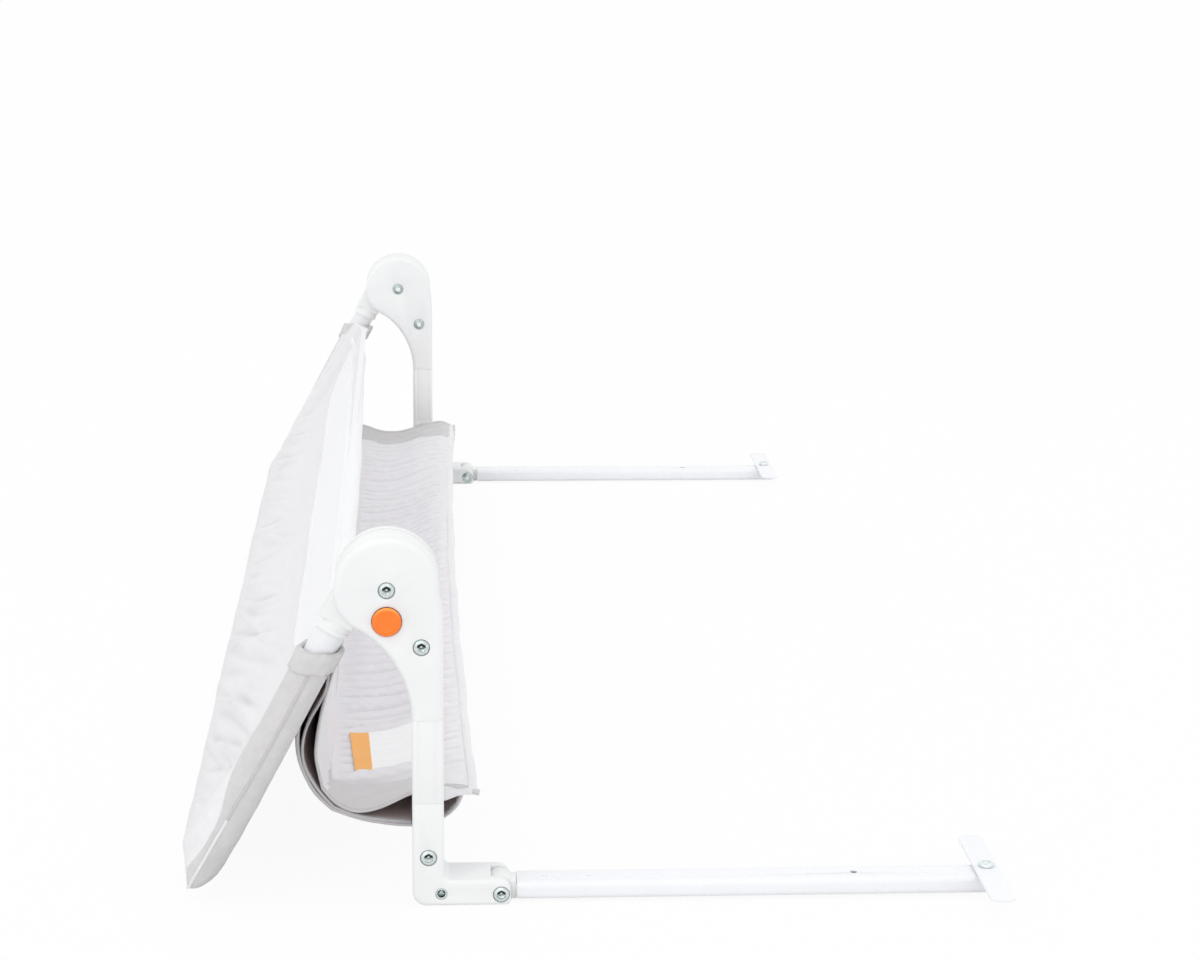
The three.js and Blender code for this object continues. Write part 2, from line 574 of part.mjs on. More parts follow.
function addFrameBend(add) {
  const route = withEnds(bendRoute(mid, 1),
    new THREE.Vector3(mid, hub.socketStart + fit.gap, tube.offset),
    new THREE.Vector3(tube.splice - fit.gap, tube.reach, tube.offset));
  const bent = sweep(disc(tube.radius, tube.radius - tube.wall), route);
  const bend = join(bent, swagedEnd());
  add('frame_bend', geometryOf(bend).applyMatrix4(panelBasis).translate(0, 0, hinge.pivotHeight), 'painted');
  const ring = new THREE.Shape();
  ring.absarc(0, 0, tube.radius + cover.slack + collar.wall, 0, 2 * Math.PI);
  ring.holes.push(new THREE.Path().absarc(0, 0, tube.radius + fit.gap, 0, 2 * Math.PI));
  const band = new THREE.ExtrudeGeometry(ring, {
    depth: collar.length - 2 * collar.lip, bevelThickness: collar.lip, bevelSize: collar.lip / 2,
    bevelOffset: -collar.lip / 2, bevelSegments: 1, curveSegments: 6,
  });
  band.rotateX(-Math.PI / 2).translate(mid, collar.start + collar.lip, tube.offset);
  add('cover_collar', closed(band.applyMatrix4(panelBasis).translate(0, 0, hinge.pivotHeight)), 'trim');
}

// Cover: a sewn sleeve over the whole frame, closed by a taut front and back that meet at the hinge side.
function frontLevel(u) {
  const share = (tube.reach - u) / (tube.reach - cover.hingeEdge);
  const high = tube.offset + sleeveRadius;
  return high + (cover.edgeLevel + cover.edgeHalf - high) * share;
}

function backLevel(u) {
  const share = (tube.reach - u) / (tube.reach - cover.hingeEdge);
  const low = tube.offset - sleeveRadius;
  return low + (cover.edgeLevel - cover.edgeHalf - low) * share;
}

function slabSection(inset) {
  const start = cover.hingeEdge + inset;
  const shoulder = start + cover.edgeRun;
  return new THREE.Shape([
    [start, cover.edgeLevel], [shoulder, backLevel(shoulder) + inset],
    [tube.reach, backLevel(tube.reach) + inset],
    [tube.reach, frontLevel(tube.reach) - inset], [shoulder, frontLevel(shoulder) - inset],
  ].map(([u, n]) => new THREE.Vector2(u, n)));
}

// A shape drawn in the panel's x and y, given a thickness in z.
function panelShape(halfWidth, start, end, round, low, high) {
  const shape = roundedBox(-halfWidth, start, 2 * halfWidth, end - start, round);
  const geometry = new THREE.ExtrudeGeometry(shape,
    { depth: high - low, bevelEnabled: false, curveSegments: 6 });
  return geometry.translate(0, 0, low);
}

function sleeve(radius, start) {
  const left = bendRoute(-sideTubeX, 1);
  const right = bendRoute(sideTubeX, -1);
  const points = [...left.points, ...right.points.reverse()];
  const tangents = [...left.tangents, ...right.tangents.reverse().map((tangent) => tangent.negate())];
  return sweep(disc(radius), withEnds({ points, tangents },
    new THREE.Vector3(-sideTubeX, start, tube.offset), new THREE.Vector3(sideTubeX, start, tube.offset)));
}

const coverStart = collar.start + collar.length + fit.gap;

function addPanel(add) {
  const bar = new THREE.ExtrudeGeometry(disc(tube.radius, tube.radius - tube.wall), {
    depth: 2 * spliceX, bevelEnabled: false, curveSegments: 6,
  });
  bar.rotateY(Math.PI / 2).translate(-spliceX, tube.reach, tube.offset);
  add('frame_bar', closed(bar), 'painted');

  const low = -tube.reach;
  const trimmedEnd = panelShape(sideTubeX, cover.hingeEdge - fit.overrun, tube.reach, tube.bend, low,
    tube.reach);
  const outerSlab = common(alongRail(slabSection(0), -sideTubeX, sideTubeX), trimmedEnd);
  const innerSlab = common(alongRail(slabSection(cover.wall), -sideTubeX, sideTubeX), trimmedEnd);
  const collarRoom = [-1, 1].map((way) => new THREE.CylinderGeometry(
    sleeveRadius + collar.wall, sleeveRadius + collar.wall, coverStart - cover.hingeEdge + fit.overrun, 24)
    .translate(way * sideTubeX, (coverStart + cover.hingeEdge - fit.overrun) / 2, tube.offset));
  const hollow = sleeve(tube.radius + cover.slack, cover.hingeEdge - fit.overrun);
  const window = panelShape(sideTubeX - netting.margin, netting.start, netting.end, netting.round,
    cover.edgeLevel, 2 * tube.offset + sleeveRadius);
  const whole = join(sleeve(sleeveRadius, coverStart), outerSlab);
  add('cover', cut(whole, innerSlab, hollow, window, ...collarRoom), 'fabric');

  const sheet = new THREE.Shape([
    [netting.start, frontLevel(netting.start)], [netting.end, frontLevel(netting.end)],
    [netting.end, frontLevel(netting.end) - netting.thickness],
    [netting.start, frontLevel(netting.start) - netting.thickness],
  ].map(([u, n]) => new THREE.Vector2(u, n)));
  const pane = panelShape(sideTubeX - netting.margin - fit.gap, netting.start + fit.gap,
    netting.end - fit.gap, netting.round, low, 2 * tube.reach);
  add('mesh_window', common(alongRail(sheet, -sideTubeX, sideTubeX), pane), 'netting');
}

// Skirt: the slack cloth between the panel's hinge side and the foot of the legs. It lies against the
// panel's back, then hangs in a trough. Its near and far ends fall differently.
const nearTroughShares = [[0.01, 0.82], [0, 0.64], [0.013, 0.49], [0.056, 0.36], [0.12, 0.226], [0.19, 0.15],
  [0.3, 0.07], [0.45, 0.024], [0.68, 0], [0.86, 0.048], [0.95, 0.113], [0.987, 0.19], [1, 0.268]];
const farTroughShares = [[0.015, 0.84], [0.02, 0.72], [0.04, 0.62], [0.09, 0.52], [0.15, 0.45], [0.22, 0.38],
  [0.31, 0.31], [0.43, 0.27], [0.6, 0.32], [0.76, 0.41], [0.88, 0.455], [0.96, 0.4], [1, 0.29]];

function onPanelBack(u) {
  const point = away.clone().multiplyScalar(u).addScaledVector(front, skirt.level);
  return new THREE.Vector2(point.x, point.z + hinge.pivotHeight);
}

function skirtLine(along) {
  const share = THREE.MathUtils.smoothstep(along, 0, 1);
  const high = onPanelBack(skirt.leave);
  const points = [skirt.top, (skirt.top + skirt.leave) / 2, skirt.leave].map(onPanelBack);
  nearTroughShares.forEach(([x, z], i) => {
    const [farX, farZ] = farTroughShares[i];
    const xShare = THREE.MathUtils.lerp(x, farX, share);
    const zShare = THREE.MathUtils.lerp(z, farZ, share);
    const body = Math.sin(Math.PI * i / nearTroughShares.length);
    const ripple = skirt.ripple * body * Math.sin(2 * Math.PI * skirt.rippleCount * along + i / 2);
    points.push(new THREE.Vector2(skirt.left + (skirt.right - skirt.left) * xShare,
      skirt.bottom + (high.y - skirt.bottom) * zShare + ripple));
  });
  return new THREE.SplineCurve(points).getSpacedPoints(skirt.rows);
}

function addSkirt(add) {
  const length = rail.length - 2 * skirt.inset;
  const positions = [];
  const index = [];
  const half = skirt.thickness / 2;
  const rows = skirtLine(0).length;
  for (let j = 0; j <= skirt.columns; j += 1) {
    const line = skirtLine(j / skirt.columns);
    const y = -length / 2 + length * j / skirt.columns;
    const loop = line.map((point, i) => {
      const run = line[Math.min(i + 1, rows - 1)].clone().sub(line[Math.max(i - 1, 0)]).normalize();
      return { point, side: new THREE.Vector2(-run.y, run.x).multiplyScalar(half) };
    });
    loop.forEach(({ point, side }) => positions.push(point.x + side.x, y, point.y + side.y));
    [...loop].reverse().forEach(({ point, side }) => positions.push(point.x - side.x, y, point.y - side.y));
  }
  const ring = 2 * rows;
  for (let j = 0; j < skirt.columns; j += 1) {
    for (let i = 0; i < ring; i += 1) {
      const [a, b] = [j * ring + i, j * ring + ((i + 1) % ring)];
      index.push(a, b, b + ring, a, b + ring, a + ring);
    }
  }
  for (let i = 0; i < rows - 1; i += 1) {
    const opposite = ring - 1 - i;
    const last = skirt.columns * ring;
    index.push(i, opposite, opposite - 1, i, opposite - 1, i + 1);
    index.push(last + i, last + opposite - 1, last + opposite, last + i, last + i + 1, last + opposite - 1);
  }
  const geometry = new THREE.BufferGeometry();
  geometry.setAttribute('position', new THREE.Float32BufferAttribute(positions, 3));
  geometry.setIndex(index);
  add('skirt', closed(geometry), 'lining');

  const left = skirt.right + half + fit.gap;
  add('skirt_hem_band', box([left, -length / 2, hem.level - hem.thickness / 2],
    [left + hem.width, length / 2, hem.level + hem.thickness / 2]), 'trim');
}

// Tabs that hold the hem to the brackets, each with a snap stud.
function addHemTab(add) {
  const face = bracketInner + fit.gap;
  const near = skirt.inset - fit.gap - hem.tabThickness;
  const thick = hem.tabThickness;
  const bendStart = legRight + fit.gap;
  const bendEnd = skirt.right - stud.shank;
  const end = skirt.right + skirt.thickness / 2 + fit.gap + hem.width;
  const low = hem.level - hem.tabHeight / 2;
  const shape = new THREE.Shape([
    [hem.tabStart, face], [bendStart, face], [bendEnd, near], [end, near], [end, near + thick],
    [bendEnd - thick / 2, near + thick], [bendStart - thick / 2, face + thick], [hem.tabStart, face + thick],
  ].map(([x, y]) => new THREE.Vector2(x, y)));
  const x = hem.tabStart + stud.inset;
  const hole = rodAcross(stud.shank + fit.gap, face - fit.overrun, face + fit.overrun, x, hem.level, 12);
  add('hem_tab', cut(upward(shape, low, low + hem.tabHeight), hole), 'trim');
  const seat = face + thick + fit.gap;
  add('tab_stud', closed(turned([[0, seat - thick - 2 * fit.gap], [stud.shank, seat - thick - 2 * fit.gap],
    [stud.shank, seat], [stud.radius, seat], [stud.radius, seat + stud.height / 2],
    [stud.radius / 2, seat + stud.height], [0, seat + stud.height]], x, hem.level)), 'zinc');
}

// Assembly
const model = new THREE.Group();

function mirrored(geometry) {
  const flipped = geometry.clone().scale(1, -1, 1);
  flipped.setIndex([...flipped.index.array].reverse());
  return flipped;
}

function place(parent, name, shape, finish) {
  const geometry = shape.isBufferGeometry ? closed(shape) : geometryOf(shape);
  geometry.computeVertexNormals();
  const material = new THREE.MeshStandardMaterial(finishes[finish]);
  const mesh = new THREE.Mesh(geometry, material);
  mesh.name = name;
  parent.add(mesh);
}

const endPieces = [];
const collect = (name, shape, finish) => endPieces.push([name, shape, finish]);
addHousing(collect);
addHub(collect);
addRelease(collect);
boltThrough(collect, 'pivot', pivot, 0, hinge.depth);
boltThrough(collect, 'neck', neckBolt, 0, hinge.depth);
addLeg(collect);
addBracket(collect);
boltThrough(collect, 'leg', legBolt, bracketOuter, bracketInner);
boltThrough(collect, 'arm', armBolt, bracketOuter, bracketInner);
addArm(collect);
addFrameBend(collect);
addHemTab(collect);

for (const [end, way] of [['left', 1], ['right', -1]]) {
  const group = new THREE.Group();
  group.position.y = -way * halfRail;
  for (const [name, shape, finish] of endPieces) {
    const geometry = shape.isBufferGeometry ? closed(shape) : geometryOf(shape);
    place(group, `${end}_${name}`, way > 0 ? geometry : mirrored(geometry), finish);
  }
  model.add(group);
}

const panel = new THREE.Group();
panel.setRotationFromMatrix(panelBasis);
panel.position.z = hinge.pivotHeight;
addPanel((name, shape, finish) => place(panel, name, shape, finish));
model.add(panel);
addSkirt((name, shape, finish) => place(model, name, shape, finish));

const footprint = new THREE.Box3().setFromObject(model, true);
model.position.set(-(footprint.min.x + footprint.max.x) / 2, -(footprint.min.y + footprint.max.y) / 2,
  -footprint.min.z);
console.log(`least gap between the release spring's turns: ${springGap().toFixed(2)} mm`);

const guardRail = new THREE.Group();
guardRail.add(model);
export default guardRail;
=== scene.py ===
# %% [markdown]
# Folding bed guard rail.
# The rail is two moulded hinge legs, a long cloth panel on a bent tube, slack cloth below it and two flat
# arms that go under the mattress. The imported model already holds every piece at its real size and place.
# This script dresses it: each moulding, screw and sheet of cloth is made again with the round edges,
# wrinkles, seams and finishes that the eye expects, and rides on the same moving body.

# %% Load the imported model
import json
import math
import random

import bmesh
import bpy
from mathutils import Matrix, Vector
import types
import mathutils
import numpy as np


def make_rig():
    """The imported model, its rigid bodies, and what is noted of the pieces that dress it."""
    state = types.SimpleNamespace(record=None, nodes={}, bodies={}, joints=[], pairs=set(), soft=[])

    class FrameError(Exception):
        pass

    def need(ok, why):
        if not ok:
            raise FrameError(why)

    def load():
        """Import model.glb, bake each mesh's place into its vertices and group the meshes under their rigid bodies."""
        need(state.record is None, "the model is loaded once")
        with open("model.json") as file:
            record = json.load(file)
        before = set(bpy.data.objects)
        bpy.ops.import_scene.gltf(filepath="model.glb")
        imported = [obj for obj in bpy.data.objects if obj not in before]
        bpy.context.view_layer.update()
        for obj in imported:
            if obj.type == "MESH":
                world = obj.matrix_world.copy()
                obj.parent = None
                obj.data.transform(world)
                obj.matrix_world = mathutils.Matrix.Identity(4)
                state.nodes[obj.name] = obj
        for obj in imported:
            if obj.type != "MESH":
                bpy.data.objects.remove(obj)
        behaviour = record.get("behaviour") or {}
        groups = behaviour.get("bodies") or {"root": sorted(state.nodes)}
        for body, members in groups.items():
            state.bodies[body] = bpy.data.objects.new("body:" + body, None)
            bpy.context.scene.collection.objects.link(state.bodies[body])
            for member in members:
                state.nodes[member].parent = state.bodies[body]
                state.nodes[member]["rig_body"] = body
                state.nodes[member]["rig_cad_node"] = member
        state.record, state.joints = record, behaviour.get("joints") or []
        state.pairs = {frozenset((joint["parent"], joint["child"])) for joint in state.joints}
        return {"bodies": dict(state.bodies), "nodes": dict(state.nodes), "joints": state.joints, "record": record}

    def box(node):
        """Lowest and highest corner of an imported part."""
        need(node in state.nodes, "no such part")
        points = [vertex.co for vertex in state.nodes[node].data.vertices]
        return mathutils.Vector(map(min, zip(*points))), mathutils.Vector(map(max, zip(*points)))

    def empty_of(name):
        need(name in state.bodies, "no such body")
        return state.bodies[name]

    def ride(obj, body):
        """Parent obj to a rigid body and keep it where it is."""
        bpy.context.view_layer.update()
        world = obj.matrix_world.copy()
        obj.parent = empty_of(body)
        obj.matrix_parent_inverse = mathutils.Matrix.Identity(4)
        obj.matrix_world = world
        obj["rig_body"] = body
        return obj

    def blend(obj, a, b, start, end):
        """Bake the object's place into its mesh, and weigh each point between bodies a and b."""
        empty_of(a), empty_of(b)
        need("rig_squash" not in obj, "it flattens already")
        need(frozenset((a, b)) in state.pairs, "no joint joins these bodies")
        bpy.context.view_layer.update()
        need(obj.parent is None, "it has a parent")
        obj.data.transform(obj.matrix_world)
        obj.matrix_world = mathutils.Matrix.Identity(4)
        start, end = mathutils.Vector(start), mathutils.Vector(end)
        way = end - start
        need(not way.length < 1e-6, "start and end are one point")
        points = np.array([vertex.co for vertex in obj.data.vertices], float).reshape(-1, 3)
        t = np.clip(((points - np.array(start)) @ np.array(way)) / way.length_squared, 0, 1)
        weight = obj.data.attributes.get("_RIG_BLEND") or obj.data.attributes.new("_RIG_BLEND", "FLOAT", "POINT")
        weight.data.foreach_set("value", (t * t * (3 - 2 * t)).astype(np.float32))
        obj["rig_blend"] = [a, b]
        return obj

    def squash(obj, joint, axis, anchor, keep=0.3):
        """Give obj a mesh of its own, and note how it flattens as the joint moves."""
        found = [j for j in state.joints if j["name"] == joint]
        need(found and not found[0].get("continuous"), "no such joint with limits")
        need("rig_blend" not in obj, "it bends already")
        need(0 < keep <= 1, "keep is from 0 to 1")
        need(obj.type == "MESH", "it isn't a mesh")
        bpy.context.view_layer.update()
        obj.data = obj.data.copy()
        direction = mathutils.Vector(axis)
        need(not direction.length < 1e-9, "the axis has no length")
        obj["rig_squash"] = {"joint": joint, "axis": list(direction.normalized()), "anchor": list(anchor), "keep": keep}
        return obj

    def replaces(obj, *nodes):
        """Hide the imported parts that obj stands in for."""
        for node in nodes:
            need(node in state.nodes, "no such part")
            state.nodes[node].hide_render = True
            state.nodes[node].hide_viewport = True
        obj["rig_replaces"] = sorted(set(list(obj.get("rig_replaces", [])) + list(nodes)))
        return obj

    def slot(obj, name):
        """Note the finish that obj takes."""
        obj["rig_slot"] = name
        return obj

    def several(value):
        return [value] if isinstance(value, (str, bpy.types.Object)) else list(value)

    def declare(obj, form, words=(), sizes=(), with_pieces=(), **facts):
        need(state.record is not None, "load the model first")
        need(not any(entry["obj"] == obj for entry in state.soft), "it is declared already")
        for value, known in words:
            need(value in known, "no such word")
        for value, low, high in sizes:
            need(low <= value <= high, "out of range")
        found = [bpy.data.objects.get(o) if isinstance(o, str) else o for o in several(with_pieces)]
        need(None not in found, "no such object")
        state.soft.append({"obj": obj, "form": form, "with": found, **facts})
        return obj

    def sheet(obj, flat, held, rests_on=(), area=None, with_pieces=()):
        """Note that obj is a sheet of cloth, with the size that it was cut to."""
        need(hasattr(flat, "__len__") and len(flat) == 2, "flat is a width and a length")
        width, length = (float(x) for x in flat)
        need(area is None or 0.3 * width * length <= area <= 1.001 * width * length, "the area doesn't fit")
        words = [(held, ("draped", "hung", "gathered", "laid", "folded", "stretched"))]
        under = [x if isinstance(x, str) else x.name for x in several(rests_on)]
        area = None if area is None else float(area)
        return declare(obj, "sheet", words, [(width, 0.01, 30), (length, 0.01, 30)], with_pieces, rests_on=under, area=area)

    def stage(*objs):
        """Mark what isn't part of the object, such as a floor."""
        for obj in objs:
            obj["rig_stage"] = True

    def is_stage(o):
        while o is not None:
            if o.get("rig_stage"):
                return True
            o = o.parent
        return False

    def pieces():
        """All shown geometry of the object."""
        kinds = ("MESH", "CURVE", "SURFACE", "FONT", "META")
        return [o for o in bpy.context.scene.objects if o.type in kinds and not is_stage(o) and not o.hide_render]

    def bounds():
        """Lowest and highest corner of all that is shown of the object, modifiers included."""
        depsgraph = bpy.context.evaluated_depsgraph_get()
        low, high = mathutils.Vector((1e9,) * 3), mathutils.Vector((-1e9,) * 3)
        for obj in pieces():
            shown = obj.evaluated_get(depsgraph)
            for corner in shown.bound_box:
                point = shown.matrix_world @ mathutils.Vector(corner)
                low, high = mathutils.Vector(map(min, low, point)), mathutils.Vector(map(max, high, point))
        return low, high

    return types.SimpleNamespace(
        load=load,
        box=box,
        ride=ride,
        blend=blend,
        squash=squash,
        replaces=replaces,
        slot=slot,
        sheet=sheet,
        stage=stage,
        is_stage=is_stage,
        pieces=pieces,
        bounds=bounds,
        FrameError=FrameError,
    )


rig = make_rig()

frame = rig.load()
cad_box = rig.bounds()
joints = {joint["name"]: joint for joint in frame["joints"]}
print("nodes:", len(frame["nodes"]), "joints:", sorted(joints))

# %% [markdown]
# Every piece is drawn in millimetres, in one of three kinds of local frame, and then moved to its place in
# metres. An end frame has X from the hinge's pivot towards the bed, Y from the hinge's outer face inwards and
# Z up from the floor. The right end is the left one mirrored, so its faces are turned over after the move.
# The panel frame lies in the leaning panel: X along the rail, Y away from the pivot, Z out of its front. The
# floor frame, for the slack cloth, has an end frame's X and Z, and Y along the rail from its middle.

# %% Frames for the two ends and the panel
MM = 0.001
ENDS = {"left": -1, "right": 1}
PIVOT = Vector(joints["panel_swing"]["pos_m"])
HALF_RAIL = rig.box("right_hinge_outer_shell")[1][1]
LEAN = math.radians(28)

end_frames = {
    end: Matrix(((MM, 0, 0, PIVOT.x), (0, -side * MM, 0, side * HALF_RAIL), (0, 0, MM, 0), (0, 0, 0, 1)))
    for end, side in ENDS.items()
}
along_rail = Vector((0, 1, 0))
away = Vector((-math.sin(LEAN), 0, -math.cos(LEAN)))
front = Vector((-math.cos(LEAN), 0, math.sin(LEAN)))
panel_turn = Matrix((along_rail, away, front)).transposed().to_4x4()
panel_frame = Matrix.Translation(PIVOT) @ panel_turn @ Matrix.Scale(MM, 4)
floor_frame = Matrix(((MM, 0, 0, PIVOT.x), (0, MM, 0, 0), (0, 0, MM, 0), (0, 0, 0, 1)))
print("half the rail:", round(HALF_RAIL, 3), "m, pivot:", [round(v, 4) for v in PIVOT])

# %% [markdown]
# The camera stands where the photograph's did. Its place, lens and three angles came from matching the two
# legs, the two arms and the far hinge, so the picture plane has no shift.

# %% Camera
CAMERA = {"place": (-0.12685, -2.82326, 0.74431), "lens": 91.98, "sensor": 36.0,
          "yaw": 0.0603, "pitch": 0.2064, "roll": 0.0069}


def add_object(name, data):
    made = bpy.data.objects.new(name, data)
    bpy.context.scene.collection.objects.link(made)
    return made


def photo_camera():
    yaw, pitch, roll = CAMERA["yaw"], CAMERA["pitch"], CAMERA["roll"]
    level = Vector((math.sin(yaw), math.cos(yaw), 0))
    side = Vector((math.cos(yaw), -math.sin(yaw), 0))
    up = Vector((0, 0, 1))
    forward = math.cos(pitch) * level - math.sin(pitch) * up
    top = math.cos(pitch) * up + math.sin(pitch) * level
    right = math.cos(roll) * side + math.sin(roll) * top
    upright = math.cos(roll) * top - math.sin(roll) * side
    data = bpy.data.cameras.new("photo_camera")
    data.lens, data.sensor_width, data.sensor_fit = CAMERA["lens"], CAMERA["sensor"], "HORIZONTAL"
    data.clip_end = 100
    camera = add_object("photo_camera", data)
    camera.matrix_world = (Matrix.Translation(CAMERA["place"])
                           @ Matrix((right, upright, -forward)).transposed().to_4x4())
    bpy.context.scene.camera = camera


photo_camera()

# %% [markdown]
# A finish is a small chain of nodes. A noise or a wave in object coordinates, in metres, varies the colour
# and the roughness a little and raises the surface. The helpers below write that chain once, so that each
# finish only says its own grain sizes and colours.

# %% Helpers for finishes
def finish(name, color, roughness, metallic=0.0, **sockets):
    material = bpy.data.materials.new(name)
    material.use_nodes = True
    shader = material.node_tree.nodes["Principled BSDF"]
    shader.inputs["Base Color"].default_value = (*color, 1)
    shader.inputs["Roughness"].default_value = roughness
    shader.inputs["Metallic"].default_value = metallic
    for socket, value in sockets.items():
        shader.inputs[socket.replace("_", " ")].default_value = value
    return material


def node(material, kind, links=None, **settings):
    made = material.node_tree.nodes.new(kind)
    for key, value in settings.items():
        if hasattr(made, key):
            setattr(made, key, value)
        else:
            made.inputs[key.replace("_", " ")].default_value = value
    for socket, source in (links or {}).items():
        material.node_tree.links.new(source, made.inputs[socket])
    return made


def maths(material, operation, first, second=None):
    links = {0: first} if second is None else {0: first, 1: second}
    return node(material, "ShaderNodeMath", links, operation=operation).outputs[0]


def object_points(material):
    return node(material, "ShaderNodeTexCoord").outputs["Object"]


def cloth_points(material):
    return node(material, "ShaderNodeTexCoord").outputs["UV"]


def attribute(material, name):
    return node(material, "ShaderNodeAttribute", attribute_name=name).outputs["Fac"]


def blotch(material, points, scale, detail=3.0, roughness=0.5):
    return node(material, "ShaderNodeTexNoise", {"Vector": points}, Scale=scale, Detail=detail,
                Roughness=roughness).outputs["Fac"]


def spread(material, value, low, high, from_low=0.3, from_high=0.7):
    return node(material, "ShaderNodeMapRange", {"Value": value}, From_Min=from_low, From_Max=from_high,
                To_Min=low, To_Max=high).outputs["Result"]


def tint(material, share, first, second):
    """Mixes two colours. Each is given as three numbers or as a socket that carries a colour."""
    mixed = node(material, "ShaderNodeMix", {0: share}, data_type="RGBA")
    for place, color in ((6, first), (7, second)):
        if isinstance(color, tuple):
            mixed.inputs[place].default_value = (*color, 1)
        else:
            material.node_tree.links.new(color, mixed.inputs[place])
    return mixed.outputs[2]


def connect(material, socket, source):
    shader = material.node_tree.nodes["Principled BSDF"]
    material.node_tree.links.new(source, shader.inputs[socket])


def raise_surface(material, height, distance, strength=1.0):
    bump = node(material, "ShaderNodeBump", {"Height": height}, Distance=distance, Strength=strength)
    connect(material, "Normal", bump.outputs["Normal"])


# %% [markdown]
# The rail stands on plain white with hardly a shadow. The floor is a pale matt sheet. What the camera, a
# gloss or a clear surface sees of it is mostly plain white, mixed with a little of its lit colour, which
# keeps the soft shadows under the feet. Two big lamps above give the forms their shading, and a wide weak
# sun from the front lifts the faces that look at the camera, near and far alike.

# %% Floor, backdrop and light
STAGE = {"floor": 12.0, "drop": 0.0006, "grey": 0.86, "white": 0.93, "world": 1.0, "front": 0.32, "wide": 70}


def seen_directly(owner):
    path = node(owner, "ShaderNodeLightPath").outputs
    first = maths(owner, "MAXIMUM", path["Is Camera Ray"], path["Is Glossy Ray"])
    return maths(owner, "MAXIMUM", first, path["Is Transmission Ray"])


def mix_by_sight(owner, share, lit, plain, output):
    mix = node(owner, "ShaderNodeMixShader", {"Fac": share, 1: lit.outputs[0], 2: plain.outputs[0]})
    owner.node_tree.links.new(mix.outputs[0], owner.node_tree.nodes[output].inputs["Surface"])


def floor_sheet():
    bm = bmesh.new()
    bmesh.ops.create_grid(bm, x_segments=1, y_segments=1, size=STAGE["floor"])
    bmesh.ops.translate(bm, vec=(0, 0, -STAGE["drop"]), verts=bm.verts)
    mesh = bpy.data.meshes.new("floor")
    bm.to_mesh(mesh)
    bm.free()
    paper = finish("floor_white", (STAGE["grey"],) * 3, 1.0, Specular_IOR_Level=0.0)
    glow = node(paper, "ShaderNodeEmission", Color=(1, 1, 1, 1), Strength=1.0)
    share = node(paper, "ShaderNodeMath", {0: seen_directly(paper)}, operation="MULTIPLY")
    share.inputs[1].default_value = STAGE["white"]
    mix_by_sight(paper, share.outputs[0], paper.node_tree.nodes["Principled BSDF"], glow, "Material Output")
    mesh.materials.append(paper)
    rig.stage(add_object("floor", mesh))


def white_room():
    world = bpy.data.worlds.new("white_room")
    bpy.context.scene.world = world
    world.use_nodes = True
    soft = world.node_tree.nodes["Background"]
    soft.inputs["Color"].default_value = (0.99, 0.995, 1.0, 1)
    soft.inputs["Strength"].default_value = STAGE["world"]
    plain = node(world, "ShaderNodeBackground", Color=(1, 1, 1, 1), Strength=1.0)
    mix_by_sight(world, seen_directly(world), soft, plain, "World Output")


def light(name, kind, way, **settings):
    data = bpy.data.lights.new(name, kind)
    for key, value in settings.items():
        setattr(data, key, value)
    lamp = add_object(name, data)
    lamp.rotation_euler = Vector(way).to_track_quat("-Z", "Y").to_euler()
    return lamp


def soft_lamp(name, place, aim, size, power):
    lamp = light(name, "AREA", Vector(aim) - Vector(place), shape="DISK", size=size, energy=power)
    lamp.location = place


bpy.context.scene.view_settings.view_transform = "Standard"
floor_sheet()
white_room()
soft_lamp("lamp_above_left", (-1.6, -1.6, 2.6), (-0.1, -0.2, 0.1), 1.6, 6)
soft_lamp("lamp_above_bed", (1.4, -0.6, 2.4), (0.0, 0.0, 0.1), 1.4, 2.5)
light("fill_from_front", "SUN", (0.25, 1.0, -0.35), energy=STAGE["front"], angle=math.radians(STAGE["wide"]))

# %% [markdown]
# Moulded parts are white polypropylene: satin, with a very fine spark-eroded grain and faint flow marks.
# The arms and the panel's tube are powder coated steel and aluminium, smoother, glossier and a touch cooler,
# with the slight orange peel of the coat. The orange button is glossier still, with painted light in its
# colour: a painted highlight where it faces up and painted shade round its side.

# %% Plastic and paint
def moulded_plastic():
    material = finish("white_moulding", (0.86, 0.866, 0.866), 0.42, Specular_IOR_Level=0.45)
    points = object_points(material)
    flow = spread(material, blotch(material, points, 22, 2), 0, 1)
    connect(material, "Base Color", tint(material, flow, (0.842, 0.85, 0.852), (0.868, 0.871, 0.869)))
    connect(material, "Roughness", spread(material, blotch(material, points, 160, 4), 0.38, 0.47))
    raise_surface(material, blotch(material, points, 2600, 2), 0.00004, 0.5)
    return material


def powder_coat(name, pale):
    material = finish(name, pale, 0.3, Specular_IOR_Level=0.5, Coat_Weight=0.15, Coat_Roughness=0.2)
    points = object_points(material)
    dark = tuple(value * 0.985 for value in pale)
    cloud = spread(material, blotch(material, points, 30), 0, 1)
    connect(material, "Base Color", tint(material, cloud, dark, pale))
    connect(material, "Roughness", spread(material, blotch(material, points, 90, 4), 0.26, 0.36))
    raise_surface(material, blotch(material, points, 620, 2), 0.00003, 0.2)
    return material


